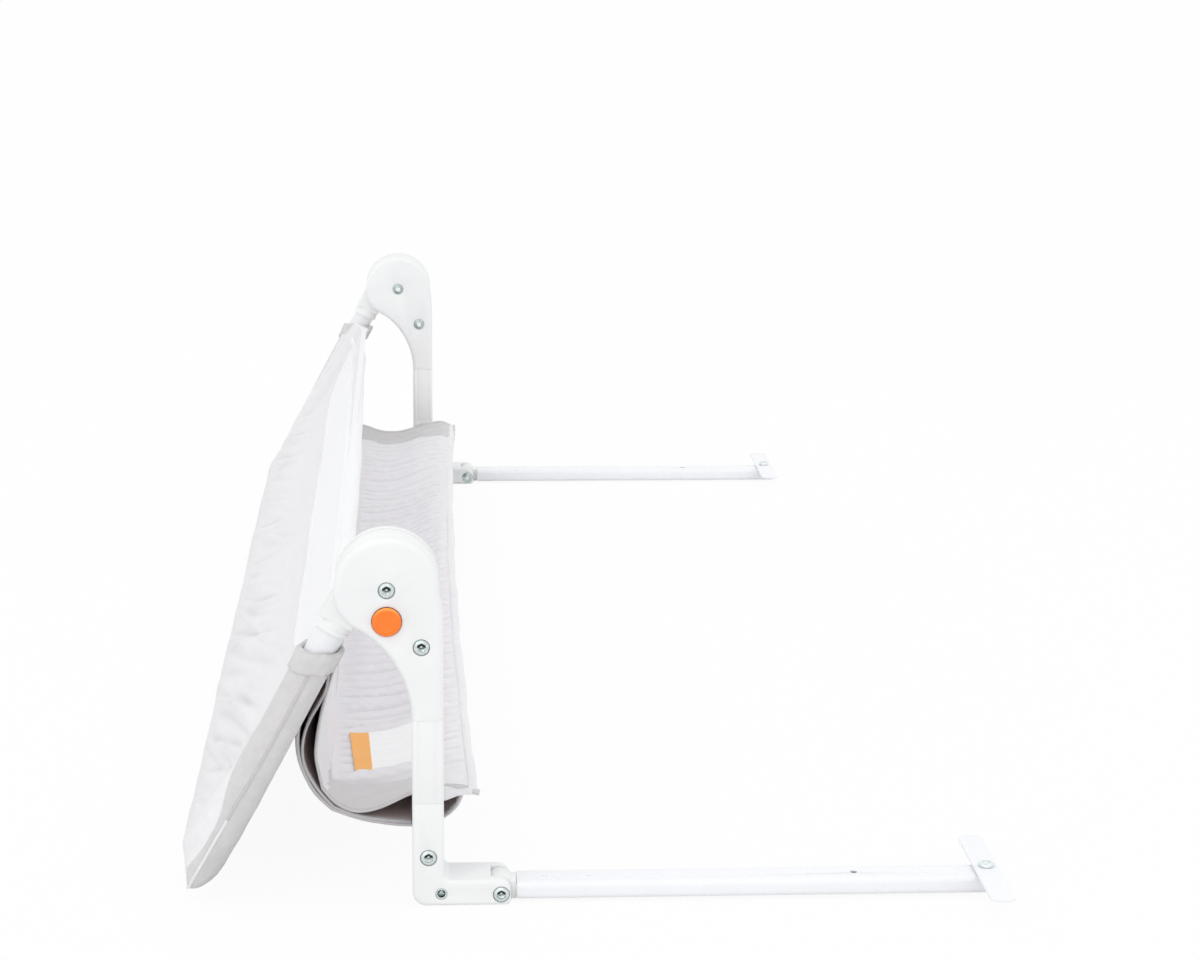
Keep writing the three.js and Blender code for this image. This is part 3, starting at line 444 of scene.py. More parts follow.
def orange_plastic():
    material = finish("orange_button", (0.98, 0.2, 0.012), 0.2, Specular_IOR_Level=0.35, Coat_Weight=0.25,
                      Coat_Roughness=0.1)
    points = object_points(material)
    normal = node(material, "ShaderNodeNewGeometry").outputs["Normal"]
    facing = node(material, "ShaderNodeSeparateXYZ", {0: normal}).outputs
    grain = spread(material, blotch(material, points, 260, 3), 0, 1)
    # Painted highlight and painted shade: faces that look up are mixed towards pale orange, faces turned sideways
    # towards a deep red orange.
    upward = spread(material, facing["Z"], 0, 0.8, 0.18, 0.55)
    outward = spread(material, maths(material, "ABSOLUTE", facing["Y"]), 0, 1, 0.25, 0.6)
    face = tint(material, grain, (0.94, 0.19, 0.01), (0.99, 0.215, 0.015))
    painted_highlight_colour = tint(material, upward, face, (1.0, 0.42, 0.08))
    connect(material, "Base Color", tint(material, outward, (0.62, 0.09, 0.008), painted_highlight_colour))
    raise_surface(material, blotch(material, points, 2400, 2), 0.00005, 0.5)
    return material


# %% [markdown]
# The screws are zinc plated and blue passivated, so their reflections are slightly green blue, and the fine
# unevenness of the coat breaks them. The springs inside the housing are plain drawn wire.

# %% Metal
def zinc_plate(name, dark, pale, roughness):
    material = finish(name, pale, roughness, 1.0)
    points = object_points(material)
    cloud = spread(material, blotch(material, points, 420, 4), 0, 1)
    rubbed = spread(material, blotch(material, points, 900, 3), roughness - 0.08, roughness + 0.1)
    connect(material, "Base Color", tint(material, cloud, dark, pale))
    connect(material, "Roughness", rubbed)
    raise_surface(material, blotch(material, points, 1900, 3), 0.00003, 0.4)
    return material


# %% [markdown]
# All the cloth is woven polyester. Each sheet carries a UV map in metres of cloth, so two waves at right
# angles draw its threads at one size on every sheet, whichever way it hangs. The threads raise the surface
# and darken it between them. Deep in a fold the colour is darkened as painted shade, which each sheet's own
# shape decides. Round its side tubes the cover is painted a greyer copy of its cloth, also painted shade. The
# netting is a knitted mesh: rows of round holes, each row moved half a step.

# %% Cloth and netting
CLOTH = {"fold_shade": 0.84, "thread": 0.00055, "fine": 0.0003, "thick": 0.0008, "patch": 0.0004}
NET = {"pitch": 0.0019, "hole": 0.36, "row": 0.577}
PALE = ((0.83, 0.825, 0.84), (0.93, 0.925, 0.94))
# The greyer colours are a shaded copy of the pale cloth: painted shade for the cover's sides, the collars and the hem
# rolls.
PAINTED_SHADE_GREY = ((0.64, 0.625, 0.63), (0.77, 0.755, 0.76))


def waves(material, points, direction, pitch):
    wave = node(material, "ShaderNodeTexWave", {"Vector": points}, bands_direction=direction, wave_type="BANDS",
                wave_profile="SIN", Scale=2 * math.pi / (20 * pitch), Distortion=0.6, Detail=1.0,
                Detail_Scale=2.0)
    return wave.outputs["Fac"]


def weave_of(material, points, pitch):
    return maths(material, "MULTIPLY", waves(material, points, "X", pitch), waves(material, points, "Y", pitch))


def woven(name, dark, pale, sheen=0.25, thread=CLOTH["thread"], other=None):
    material = finish(name, pale, 0.88, Specular_IOR_Level=0.2, Sheen_Weight=sheen, Sheen_Roughness=0.45)
    points = cloth_points(material)
    weave = weave_of(material, points, thread)
    slub = blotch(material, points, 95, 4, 0.65)
    shade = maths(material, "ADD", spread(material, slub, 0, 0.55), spread(material, weave, 0, 0.45, 0, 1))
    color = tint(material, shade, dark, pale)
    if other:
        # Painted shade: where the end attribute says so, round the side tubes, the cover takes the greyer copy of its
        # cloth.
        end = spread(material, attribute(material, "end"), 0, 1, 0.47, 0.53)
        color = tint(material, end, color, tint(material, shade, *other))
    # Painted shade: deep in a fold, as the sheet's attribute says, the colour is darkened.
    deep = tuple(value * CLOTH["fold_shade"] for value in dark)
    connect(material, "Base Color", tint(material, attribute(material, "fold_shade"), color, deep))
    connect(material, "Roughness", spread(material, slub, 0.82, 0.95))
    raise_surface(material, maths(material, "ADD", weave, spread(material, slub, 0, 0.6)), 0.00022, 0.6)
    return material


def netting():
    material = finish("white_netting", (0.92, 0.92, 0.94), 0.8, Specular_IOR_Level=0.25, Sheen_Weight=0.3,
                      Sheen_Roughness=0.4)
    points = cloth_points(material)
    cells = []
    for shift in (0.0, 0.5):
        moved = node(material, "ShaderNodeMapping", {"Vector": points}, Location=(shift, shift, 0),
                     Scale=(1 / NET["pitch"], NET["row"] / NET["pitch"], 1))
        cell = node(material, "ShaderNodeTexVoronoi", {"Vector": moved.outputs[0]}, voronoi_dimensions="2D",
                    Scale=1.0, Randomness=0.0)
        cells.append(cell.outputs["Distance"])
    nearest = maths(material, "MINIMUM", *cells)
    thread = spread(material, nearest, 0, 1, NET["hole"] - 0.1, NET["hole"] + 0.04)
    connect(material, "Base Color", tint(material, thread, (0.92, 0.92, 0.93), (0.98, 0.98, 0.985)))
    raise_surface(material, thread, 0.0003, 0.7)
    return material


finishes = {
    "moulding": moulded_plastic(),
    "arm_paint": powder_coat("arm_paint", (0.885, 0.89, 0.915)),
    "tube_paint": powder_coat("tube_paint", (0.83, 0.837, 0.858)),
    "orange": orange_plastic(),
    "zinc": zinc_plate("blue_zinc", (0.55, 0.63, 0.63), (0.78, 0.85, 0.84), 0.27),
    "plate_zinc": zinc_plate("plate_zinc", (0.74, 0.81, 0.81), (0.86, 0.92, 0.92), 0.34),
    # A darker copy of the zinc for the sleeve nuts: painted shade.
    "nut_zinc": zinc_plate("nut_zinc", (0.36, 0.42, 0.42), (0.52, 0.59, 0.58), 0.3),
    "wire": zinc_plate("spring_wire", (0.3, 0.31, 0.33), (0.5, 0.51, 0.53), 0.35),
    # Near black: painted shade for the insides of screw sockets and rivet hollows.
    "socket": finish("shaded_socket", (0.035, 0.037, 0.036), 0.55, 0.6),
    "cloth": woven("panel_cloth", *PALE, 0.3),
    "cover": woven("cover_cloth", *PALE, 0.3, other=PAINTED_SHADE_GREY),
    "end_cloth": woven("sleeve_cloth_painted_shade", *PAINTED_SHADE_GREY),
    "lining": woven("trough_lining", (0.85, 0.835, 0.86), (0.95, 0.935, 0.955), 0.3),
    # Greyer copy of the lining: painted shade for its margins.
    "margin": woven("lining_margin_painted_shade", (0.66, 0.645, 0.65), (0.77, 0.755, 0.76)),
    "shade": woven("inner_cloth", (0.65, 0.54, 0.53), (0.8, 0.69, 0.68), 0.15),
    "binding": woven("edge_binding", (0.58, 0.56, 0.565), (0.72, 0.70, 0.705), 0.2, CLOTH["thick"]),
    "thread": woven("stitching", (0.6, 0.58, 0.585), (0.72, 0.7, 0.705), 0.2, CLOTH["fine"]),
    "netting": netting(),
}
print("finishes:", len(finishes))

# %% [markdown]
# The mouldings start as a few bmesh operators: a disc, a block or an outline face that is extruded, rounded
# with bevel and cut with others of its kind. A cut is a Boolean, applied at once, after which flat faces are
# merged and the new edges get a small bevel, because no moulded or pressed edge is knife sharp.

# %% Modelling helpers
LYING = Matrix.Rotation(-math.pi / 2, 4, "X")


def cylinder(radius, length, place, segments=64, tip=None):
    bm = bmesh.new()
    bmesh.ops.create_cone(bm, cap_ends=True, segments=segments, radius1=radius,
                          radius2=radius if tip is None else tip, depth=length, matrix=place)
    return bm


def rod(radius, start, end, x, z, segments=64, tip=None):
    return cylinder(radius, end - start, Matrix.Translation((x, (start + end) / 2, z)) @ LYING, segments, tip)


def upright_rod(radius, low, high, x, y, segments=48):
    return cylinder(radius, high - low, Matrix.Translation((x, y, (low + high) / 2)), segments)


def block(low, high):
    bm = bmesh.new()
    bmesh.ops.create_cube(bm, size=1)
    size = [b - a for a, b in zip(low, high)]
    middle = [(a + b) / 2 for a, b in zip(low, high)]
    bmesh.ops.transform(bm, matrix=Matrix.Translation(middle) @ Matrix.Diagonal((*size, 1)), verts=bm.verts)
    return bm


def arc(centre, radius, start, end, steps):
    turns = [math.radians(start + (end - start) * i / steps) for i in range(steps + 1)]
    return [(centre[0] + radius * math.cos(t), centre[1] + radius * math.sin(t)) for t in turns]


def bend(start, first, second, end, steps):
    points = []
    for i in range(steps + 1):
        t = i / steps
        a, b, c, d = (1 - t) ** 3, 3 * t * (1 - t) ** 2, 3 * t * t * (1 - t), t ** 3
        points.append(tuple(a * p + b * q + c * r + d * s for p, q, r, s in zip(start, first, second, end)))
    return points


def bevelled(bm, edges, width, segments):
    bmesh.ops.bevel(bm, geom=edges, offset=width, segments=segments, profile=0.5, affect="EDGES", material=-1,
                    clamp_overlap=True)
    return bm


def slab(outline, low, high, rounding=0.0, segments=5, axis="Y"):
    """An outline, pushed along one axis. The two faces' edges are rounded."""
    bm = bmesh.new()
    lift = {"Y": lambda u, v: (u, low, v), "Z": lambda u, v: (u, v, low), "X": lambda u, v: (low, u, v)}[axis]
    way = Vector({"Y": (0, 1, 0), "Z": (0, 0, 1), "X": (1, 0, 0)}[axis])
    face = bm.faces.new([bm.verts.new(lift(u, v)) for u, v in outline])
    pushed = bmesh.ops.extrude_face_region(bm, geom=[face])
    moved = [item for item in pushed["geom"] if isinstance(item, bmesh.types.BMVert)]
    bmesh.ops.translate(bm, vec=way * (high - low), verts=moved)
    bmesh.ops.recalc_face_normals(bm, faces=bm.faces)
    if rounding:
        caps = [f for f in bm.faces if abs(f.normal.dot(way)) > 0.99]
        bevelled(bm, list({edge for cap in caps for edge in cap.edges}), rounding, segments)
    return bm


def turned(profile, x=0.0, z=0.0, steps=64):
    bm = bmesh.new()
    verts = [bm.verts.new((x + radius, along, z)) for radius, along in profile]
    edges = [bm.edges.new(pair) for pair in zip(verts, verts[1:])]
    bmesh.ops.spin(bm, geom=verts + edges, cent=(x, 0, z), axis=(0, 1, 0), angle=2 * math.pi, steps=steps,
                   use_merge=True)
    bmesh.ops.remove_doubles(bm, verts=bm.verts, dist=0.001)
    bmesh.ops.recalc_face_normals(bm, faces=bm.faces)
    return bm


def work_object(bm):
    mesh = bpy.data.meshes.new("work")
    bm.to_mesh(mesh)
    bm.free()
    return add_object("work", mesh)


def boolean(body, tools, operation="DIFFERENCE"):
    work = [work_object(tool) for tool in (body, *tools)]
    for tool in work[1:]:
        modifier = work[0].modifiers.new("cut", "BOOLEAN")
        modifier.operation, modifier.solver, modifier.object = operation, "EXACT", tool
    bpy.context.view_layer.update()
    result = bpy.data.meshes.new_from_object(work[0].evaluated_get(bpy.context.evaluated_depsgraph_get()))
    bm = bmesh.new()
    bm.from_mesh(result)
    for piece in work:
        mesh = piece.data
        bpy.data.objects.remove(piece)
        bpy.data.meshes.remove(mesh)
    bpy.data.meshes.remove(result)
    bmesh.ops.remove_doubles(bm, verts=bm.verts, dist=0.003)
    return bm


def soften(bm, width=0.4, segments=2, sharpest=48):
    """Merges flat faces and gives every edge that is sharper than so many degrees a small bevel."""
    bmesh.ops.dissolve_limit(bm, angle_limit=math.radians(0.4), verts=bm.verts, edges=bm.edges)
    sharp = [e for e in bm.edges if len(e.link_faces) == 2 and e.calc_face_angle(0) > math.radians(sharpest)]
    return bevelled(bm, sharp, width, segments)


def smooth(value, low=0.0, high=1.0):
    """0 up to low, 1 from high on, and an even S between them."""
    t = min(max((value - low) / (high - low), 0.0), 1.0)
    return t * t * (3 - 2 * t)


# %% [markdown]
# A finished mesh is moved from its local frame to its place in metres, shaded smooth with its real edges
# kept sharp, and told which moving body it rides on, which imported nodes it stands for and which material
# slot it belongs to. A piece that both ends have is drawn once and placed twice.

# %% Placing finished pieces
SLOTS = {"moulding": "moulded_white", "arm_paint": "painted_steel", "tube_paint": "painted_tube",
         "orange": "button_orange", "zinc": "zinc_steel", "plate_zinc": "zinc_steel", "nut_zinc": "zinc_steel",
         "cover": "cover_fabric", "end_cloth": "cover_fabric", "lining": "skirt_lining",
         "shade": "skirt_lining", "binding": "trim_fabric", "thread": "trim_fabric", "patch": "trim_fabric",
         "netting": "window_netting"}


def settle(bm, name, place, body, looks, replaces=(), sharp=38):
    """Uses up a mesh. Its first look names the slot, and a cloth that two bodies move gets no body here."""
    looks = looks if isinstance(looks, tuple) else (looks,)
    bmesh.ops.transform(bm, matrix=place, verts=bm.verts)
    if place.determinant() < 0:
        bmesh.ops.reverse_faces(bm, faces=bm.faces)
    mesh = bpy.data.meshes.new(name)
    bm.to_mesh(mesh)
    bm.free()
    mesh.shade_smooth()
    mesh.set_sharp_from_angle(angle=math.radians(sharp))
    for look in looks:
        mesh.materials.append(finishes[look])
    piece = add_object(name, mesh)
    if body:
        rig.ride(piece, body)
    if replaces:
        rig.replaces(piece, *replaces)
    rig.slot(piece, SLOTS[looks[0]])
    print(name, "faces:", len(mesh.polygons))
    return piece


def at_both_ends(bm, name, body, looks, nodes):
    for end in ENDS:
        settle(bm.copy(), f"{end}_{name}", end_frames[end], body.format(end=end), looks,
               [f"{end}_{part}" for part in nodes])
    bm.free()


def shade_inside(bm, x, z, radius, low=-math.inf, high=math.inf, above=-math.inf):
    """The faces inside a hole, between two depths and from one height up, get the piece's second look: for screws and
    rivets a near-black painted shade.
    """
    for face in bm.faces:
        middle = face.calc_center_median()
        inside = math.hypot(middle.x - x, middle.z - z) < radius and low < middle.y < high
        if inside and middle.z > z + above:
            face.material_index = 1
    return bm


# %% [markdown]
# The hinge housing is two mouldings that meet at mid thickness. Its outline is a round head whose chin, of a
# smaller radius, flows into the leg through one hollow curve. The face edges are rolled over generously, as
# they are on anything that a child may bump into. The hub's disc, the sweep of its arm and the open top are
# cut out between the two side walls.

# %% Hinge housing
HINGE = {"height": 231.5, "head": 36.8, "depth": 46.0, "plate": 10.0, "rolled": 4.4, "shoulder": 198,
         "chin": 29.7, "throat": 242, "throat_drop": 21.4, "throat_rise": 31.4, "cheek_drop": 26.0,
         "wall_top": 14.0, "clear": 0.7}
LEG = {"left": 16.9, "width": 22.4, "depth": 43.0, "round": 2.6, "low": 76.0, "top": 137.0, "flute": 3.2,
       "flute_depth": 0.45, "flute_offset": 6.2}
GAP = 0.3
LEG_RIGHT = LEG["left"] + LEG["width"]
LEG_MIDDLE = LEG["left"] + LEG["width"] / 2
MID = HINGE["depth"] / 2
SCREWS = {"pivot": (0.0, HINGE["height"]), "neck": (24.0, 190.4), "leg": (28.3, 35.9), "arm": (79.9, 8.0)}
RECESS = {"radius": 6.15, "depth": 2.6}
SPIGOT = {"half_width": 9.3, "half_depth": 11.3, "top": 197.3}
NECK = {"run": 34.0, "half": 21.8, "steps": 9}
BUTTON = {"drop": 22.2, "radius": 10.4, "bore": 10.8, "proud": 2.6, "rim": 2.0, "roll": 3.0, "dish": 0.35,
          "web": 2.8, "boss": 5.4, "boss_end": 3.6, "travel": 3.2}
RELEASE = (0.0, HINGE["height"] - BUTTON["drop"])
HUB = {"radius": 36.4, "arm_side": 6.5, "root": 4.0, "root_end": 40.0, "ferrule": 12.5, "ferrule_end": 48.0,
       "tube_level": 19.0}
TUBE = {"radius": 11.0, "reach": 240.0, "bend": 45.0, "side": 1000 * HALF_RAIL - MID}


def housing_outline():
    height, head, drop = HINGE["height"], HINGE["head"], HINGE["cheek_drop"]
    shoulder, throat = math.radians(HINGE["shoulder"]), math.radians(HINGE["throat"])
    offset = head - HINGE["chin"]
    chin = (offset * math.cos(shoulder), height + offset * math.sin(shoulder))
    start = (chin[0] + HINGE["chin"] * math.cos(throat), chin[1] + HINGE["chin"] * math.sin(throat))
    leave = (start[0] - HINGE["throat_drop"] * math.sin(throat),
             start[1] + HINGE["throat_drop"] * math.cos(throat))
    side = bend((LEG_RIGHT, height - drop), (LEG_RIGHT, height - drop / 2), (head, height - drop / 3),
                (head, height), 8)
    crown = arc((0, height), head, 0, HINGE["shoulder"], 72)
    under = arc(chin, HINGE["chin"], HINGE["shoulder"], HINGE["throat"], 14)
    hollow = bend(start, leave, (LEG["left"], LEG["top"] + HINGE["throat_rise"]), (LEG["left"], LEG["top"]), 28)
    below = LEG["top"] - 2 * HINGE["rolled"]
    return [(LEG_RIGHT, below), *side, *crown[1:], *under[1:], *hollow[1:], (LEG["left"], below)]


def along_panel(bm):
    place = Matrix.Translation((0, 0, HINGE["height"])) @ panel_turn
    bmesh.ops.transform(bm, matrix=place, verts=bm.verts)
    return bm


def hub_room():
    low, high = HINGE["plate"], HINGE["depth"] - HINGE["plate"]
    reach = 2 * HINGE["head"]
    sweep = along_panel(block((low, -reach, HUB["arm_side"] - HINGE["clear"]), (high, reach, reach)))
    top = block((-reach, low, HINGE["height"] - HINGE["wall_top"]), (reach, high, HINGE["height"] + reach))
    return [rod(HUB["radius"] + HINGE["clear"], low, high, 0, HINGE["height"], 96), sweep, top]


def screw_pockets(name, outer, inner):
    x, z = SCREWS[name]
    return [rod(RECESS["radius"], outer - 5, outer + RECESS["depth"], x, z),
            rod(RECESS["radius"], inner - RECESS["depth"], inner + 5, x, z)]


def slimmed_neck(bm):
    """The housing grows thinner towards the post, so that the two meet with hardly a step."""
    for step in range(1, NECK["steps"]):
        level = LEG["top"] + NECK["run"] * step / NECK["steps"]
        bmesh.ops.bisect_plane(bm, geom=[*bm.verts, *bm.edges, *bm.faces], plane_co=(0, 0, level),
                               plane_no=(0, 0, 1))
    for vert in bm.verts:
        fall = 1 - smooth(vert.co.z, LEG["top"], LEG["top"] + NECK["run"])
        vert.co.y = MID + (vert.co.y - MID) * (1 - fall * (1 - NECK["half"] / (HINGE["depth"] / 2)))
    return bm


def hinge_shells():
    seam = {"outer": (-5, MID - GAP / 2), "inner": (MID + GAP / 2, HINGE["depth"] + 5)}
    reach = 3 * HINGE["head"]
    wide, deep = SPIGOT["half_width"], SPIGOT["half_depth"]
    for side, (low, high) in seam.items():
        body = slab(housing_outline(), 0, HINGE["depth"], HINGE["rolled"], 7)
        spigot = block((LEG_MIDDLE - wide, MID - deep, LEG["top"] - 5),
                       (LEG_MIDDLE + wide, MID + deep, SPIGOT["top"]))
        cuts = [*hub_room(), spigot, *screw_pockets("pivot", 0, HINGE["depth"]),
                *screw_pockets("neck", 0, HINGE["depth"]), block((-reach, -5, 0), (reach, reach, LEG["top"])),
                block((-reach, high, 0), (reach, high + reach, 500)),
                block((-reach, low - reach, 0), (reach, low, 500))]
        if side == "outer":
            cuts.append(rod(BUTTON["bore"], -5, HINGE["plate"] - BUTTON["web"], *RELEASE, 72))
        shell = slimmed_neck(soften(boolean(body, cuts), 0.35))
        at_both_ends(shell, f"{side}_housing_moulding", "legs", "moulding", [f"hinge_{side}_shell"])


hinge_shells()

# %% [markdown]
# The hub is one moulding: a thick disc between the housing's walls, and an arm that leaves it along the
# panel and ends in a round socket for the tube. The channel for the lock pin is a curved slot in the disc's
# outer face. The socket's mouth has a raised lip.

# %% Hub
SLOT = {"radius": 22.2, "half": 6.0, "depth": 11.8, "start": -90, "end": 62}


def panel_rod(radius, start, end):
    return along_panel(rod(radius, start, end, MID, HUB["tube_level"]))


def hub_moulding():
    low, high = HINGE["plate"] + GAP, HINGE["depth"] - HINGE["plate"] - GAP
    disc = slab(arc((0, HINGE["height"]), HUB["radius"], 0, 355, 71), low, high, 1.2, 3)
    outer_side = HUB["tube_level"] + HUB["ferrule"]
    arm_outline = [(HUB["root"], HUB["arm_side"]), (HUB["root_end"], HUB["arm_side"]),
                   (HUB["root_end"], outer_side), (HUB["root"], outer_side)]
    arm = along_panel(slab(arm_outline, low, high, 1.6, 3, axis="X"))
    ferrule = panel_rod(HUB["ferrule"], HUB["root"], HUB["ferrule_end"])
    lip = panel_rod(HUB["ferrule"] + 0.6, HUB["ferrule_end"] - 3, HUB["ferrule_end"])
    whole = boolean(disc, [arm, ferrule, lip], "UNION")
    slot = [*arc((0, HINGE["height"]), SLOT["radius"] + SLOT["half"], SLOT["start"], SLOT["end"], 36),
            *arc((0, HINGE["height"]), SLOT["radius"] - SLOT["half"], SLOT["end"], SLOT["start"], 36)]
    cuts = [slab(slot, low - 5, low + SLOT["depth"]), panel_rod(TUBE["radius"] + 0.35, 29, 60)]
    at_both_ends(soften(boolean(whole, cuts), 0.5, 2), "hub_moulding", "panel", "moulding", ["hinge_hub"])


hub_moulding()

# %% [markdown]
# The release button is a shallow dished cap with a rolled rim that stands a few millimetres out of its bore.
# It is turned from a profile: rim, dish, side and the boss behind.

# %% Release button
def release_button():
    proud, radius, rim, dish, roll = (BUTTON[key] for key in ("proud", "radius", "rim", "dish", "roll"))
    boss, end = BUTTON["boss"], BUTTON["boss_end"]
    flat = radius - roll
    crown = [(flat + roll * math.sin(t), -proud + rim - rim * math.cos(t))
             for t in (math.pi / 2 * i / 10 for i in range(11))]
    hollow = [(0, dish - proud), (flat - 1.6, dish - proud), (flat - 0.7, 0.55 * dish - proud)]
    back = [(radius, 0.4), (boss, 0.4), (boss, end), (0, end)]
    at_both_ends(turned([*hollow, *crown, *back], *RELEASE, 96), "push_button", "{end}_button", "orange",
                 ["release_button"])


release_button()

# %% [markdown]
# Each joint has a domed screw with a hexagon socket outside and a domed sleeve nut inside. The head is
# turned from a quarter ellipse, then the socket is cut with a six-sided rod and ends in a drill's cone. The
# upper half of it lies in shade, painted in as a near-black finish; the lower half stays bright. The nut is
# a darker copy of the zinc as painted shade, and its shallow round hollow is closed with a white plug.

# %% Screws and nuts
SCREW = {"head": 5.8, "height": 3.4, "edge": 1.1, "shank": 3.0, "socket": 3.45, "socket_depth": 1.5,
         "drill": 3.1, "drill_depth": 4.0, "shade_radius": 3.6, "shade_start": 0.6, "shade_end": 9.6,
         "shade_above": -0.25}
NUT = {"radius": 6.2, "cap": 2.4, "bore": 2.6}


def quarter(radius, height, base, way, steps=9):
    turns = [math.pi / 2 * i / steps for i in range(steps + 1)]
    return [(radius * math.cos(t), base + way * height * math.sin(t)) for t in turns]


def screw_head(seat, end, x=0.0, z=0.0):
    edge = seat - SCREW["edge"]
    crown = quarter(SCREW["head"], SCREW["height"] - SCREW["edge"], edge, -1)[::-1]
    profile = [(0.0, crown[0][1]), *crown[1:], (SCREW["head"], seat - 0.15), (SCREW["head"] - 0.15, seat),
               (SCREW["shank"], seat), (SCREW["shank"], end), (0.0, end)]
    head = turned(profile, x, z, 60)
    top = seat - SCREW["height"]
    socket = rod(SCREW["socket"], top - 2, top + SCREW["socket_depth"], x, z, 6)
    drilled = rod(SCREW["drill"], top - 2, top + SCREW["socket_depth"], x, z, 40)
    point = rod(SCREW["drill"], top + SCREW["socket_depth"] - 0.01, top + SCREW["drill_depth"], x, z, 40, 0.05)
    head = soften(boolean(head, [socket, drilled, point]), 0.15, 2, 50)
    # Painted shade: the upper part of the socket and its drill cone take the near-black second look.
    return shade_inside(head, x, z, SCREW["shade_radius"], top + SCREW["shade_start"],
                        top + SCREW["shade_end"], SCREW["shade_above"])


def sleeve_nut(seat, x, z):
    crown = quarter(NUT["radius"], NUT["cap"], seat + RECESS["depth"] - 0.6, 1, 10)
    floor = crown[-3][1] - 0.5
    profile = [(0.0, floor), (NUT["bore"], floor), (NUT["bore"], crown[-3][1]), *crown[:-3][::-1],
               (NUT["radius"], seat + 0.2), (NUT["radius"] - 0.2, seat), (0.0, seat)]
    return shade_inside(turned(profile, x, z, 60), x, z, NUT["bore"] + 0.02, seat + 0.5)


def screws_and_nuts():
    for name, (x, z) in SCREWS.items():
        half = (HINGE if name in ("pivot", "neck") else LEG)["depth"] / 2
        outer, inner = MID - half, MID + half
        seat, nut_seat = outer + RECESS["depth"], inner - RECESS["depth"] + GAP
        head = screw_head(seat, inner - GAP, x, z)
        at_both_ends(head, f"{name}_screw", "legs", ("zinc", "socket"), [f"{name}_bolt"])
        at_both_ends(sleeve_nut(nut_seat, x, z), f"{name}_sleeve_nut", "legs", ("nut_zinc", "moulding"),
                     [f"{name}_nut"])


screws_and_nuts()

# %% [markdown]
# The leg is an extruded post with two shallow flutes on each broad face. The corner bracket below it is an
# L in one piece: a socket for the post, a well rounded heel, and a forked toe in which the arm pivots.

# %% Leg post and corner bracket
BRACKET = {"depth": 43.0, "reach": 86.7, "height": 18.6, "heel": 10.0, "nose": 8.0, "inner": 5.0, "toe": 3.4,
           "rolled": 3.0, "slot_round": 10.7, "slot_back": 7.0, "slot_width": 23.0}
BRACKET_OUTER = MID - BRACKET["depth"] / 2
BRACKET_INNER = MID + BRACKET["depth"] / 2
RIVET = {"x": 37.3, "z": 9.0, "head": 4.1, "hollow": 2.7, "recess": 1.4, "deep": 8.0, "shade_above": -1.4}


def rounded_rectangle(low, high, rounding, steps=8):
    (left, bottom), (right, top) = low, high
    points = []
    for x, y, start in ((right - rounding, bottom + rounding, 270), (right - rounding, top - rounding, 0),
                        (left + rounding, top - rounding, 90), (left + rounding, bottom + rounding, 180)):
        points += arc((x, y), rounding, start, start + 90, steps)
    return points


def leg_post():
    low, high = LEG["low"] + 0.08, LEG["top"] - 0.08
    half = LEG["depth"] / 2
    outline = rounded_rectangle((LEG["left"], MID - half), (LEG_RIGHT, MID + half), LEG["round"])
    body = slab(outline, low, high, 0.2, 2, axis="Z")
    flutes = []
    axis = half + LEG["flute"] / 2 - LEG["flute_depth"]
    for side in (-1, 1):
        for face in (-1, 1):
            x = LEG_MIDDLE + side * LEG["flute_offset"]
            flutes.append(upright_rod(LEG["flute"] / 2, low - 5, high + 5, x, MID + face * axis, 32))
    at_both_ends(soften(boolean(body, flutes), 0.2, 2, 30), "leg_extrusion", "legs", "moulding", ["leg_post"])


def corner_bracket():
    heel, nose, inner, toe = (BRACKET[key] for key in ("heel", "nose", "inner", "toe"))
    reach, height = BRACKET["reach"], BRACKET["height"]
    above = LEG["low"] + 2 * BRACKET["rolled"]
    outline = [(LEG["left"], above), *arc((LEG["left"] + heel, heel), heel, 180, 270, 12),
               *arc((reach - toe, toe), toe, 270, 360, 6), *arc((reach - nose, height - nose), nose, 0, 90, 10),
               *arc((LEG_RIGHT + inner, height + inner), inner, 270, 180, 8), (LEG_RIGHT, above)]
    body = slab(outline, BRACKET_OUTER, BRACKET_INNER, BRACKET["rolled"], 5)
    slot_low, slot_high = MID - BRACKET["slot_width"] / 2, MID + BRACKET["slot_width"] / 2
    x, z = SCREWS["arm"]
    rivet = RIVET["x"], RIVET["z"]
    cuts = [rod(BRACKET["slot_round"], slot_low, slot_high, x, z, 72),
            block((x - BRACKET["slot_back"], slot_low, z), (reach + 5, slot_high, height + 5)),
            block((x, slot_low, -5), (reach + 5, slot_high, height)),
            block((0, -5, LEG["low"]), (reach, 60, above + 5)),
            rod(RIVET["hollow"] + 0.15, BRACKET_OUTER - 5, BRACKET_INNER + 5, *rivet, 40),
            rod(RIVET["head"] + GAP, BRACKET_OUTER - 5, BRACKET_OUTER + RIVET["recess"], *rivet),
            rod(RIVET["head"] + GAP, BRACKET_INNER - RIVET["recess"], BRACKET_INNER + 5, *rivet),
            *screw_pockets("leg", BRACKET_OUTER, BRACKET_INNER),
            *screw_pockets("arm", BRACKET_OUTER, BRACKET_INNER)]
    at_both_ends(soften(boolean(body, cuts), 0.4), "foot_bracket", "legs", "moulding", ["corner_bracket"])


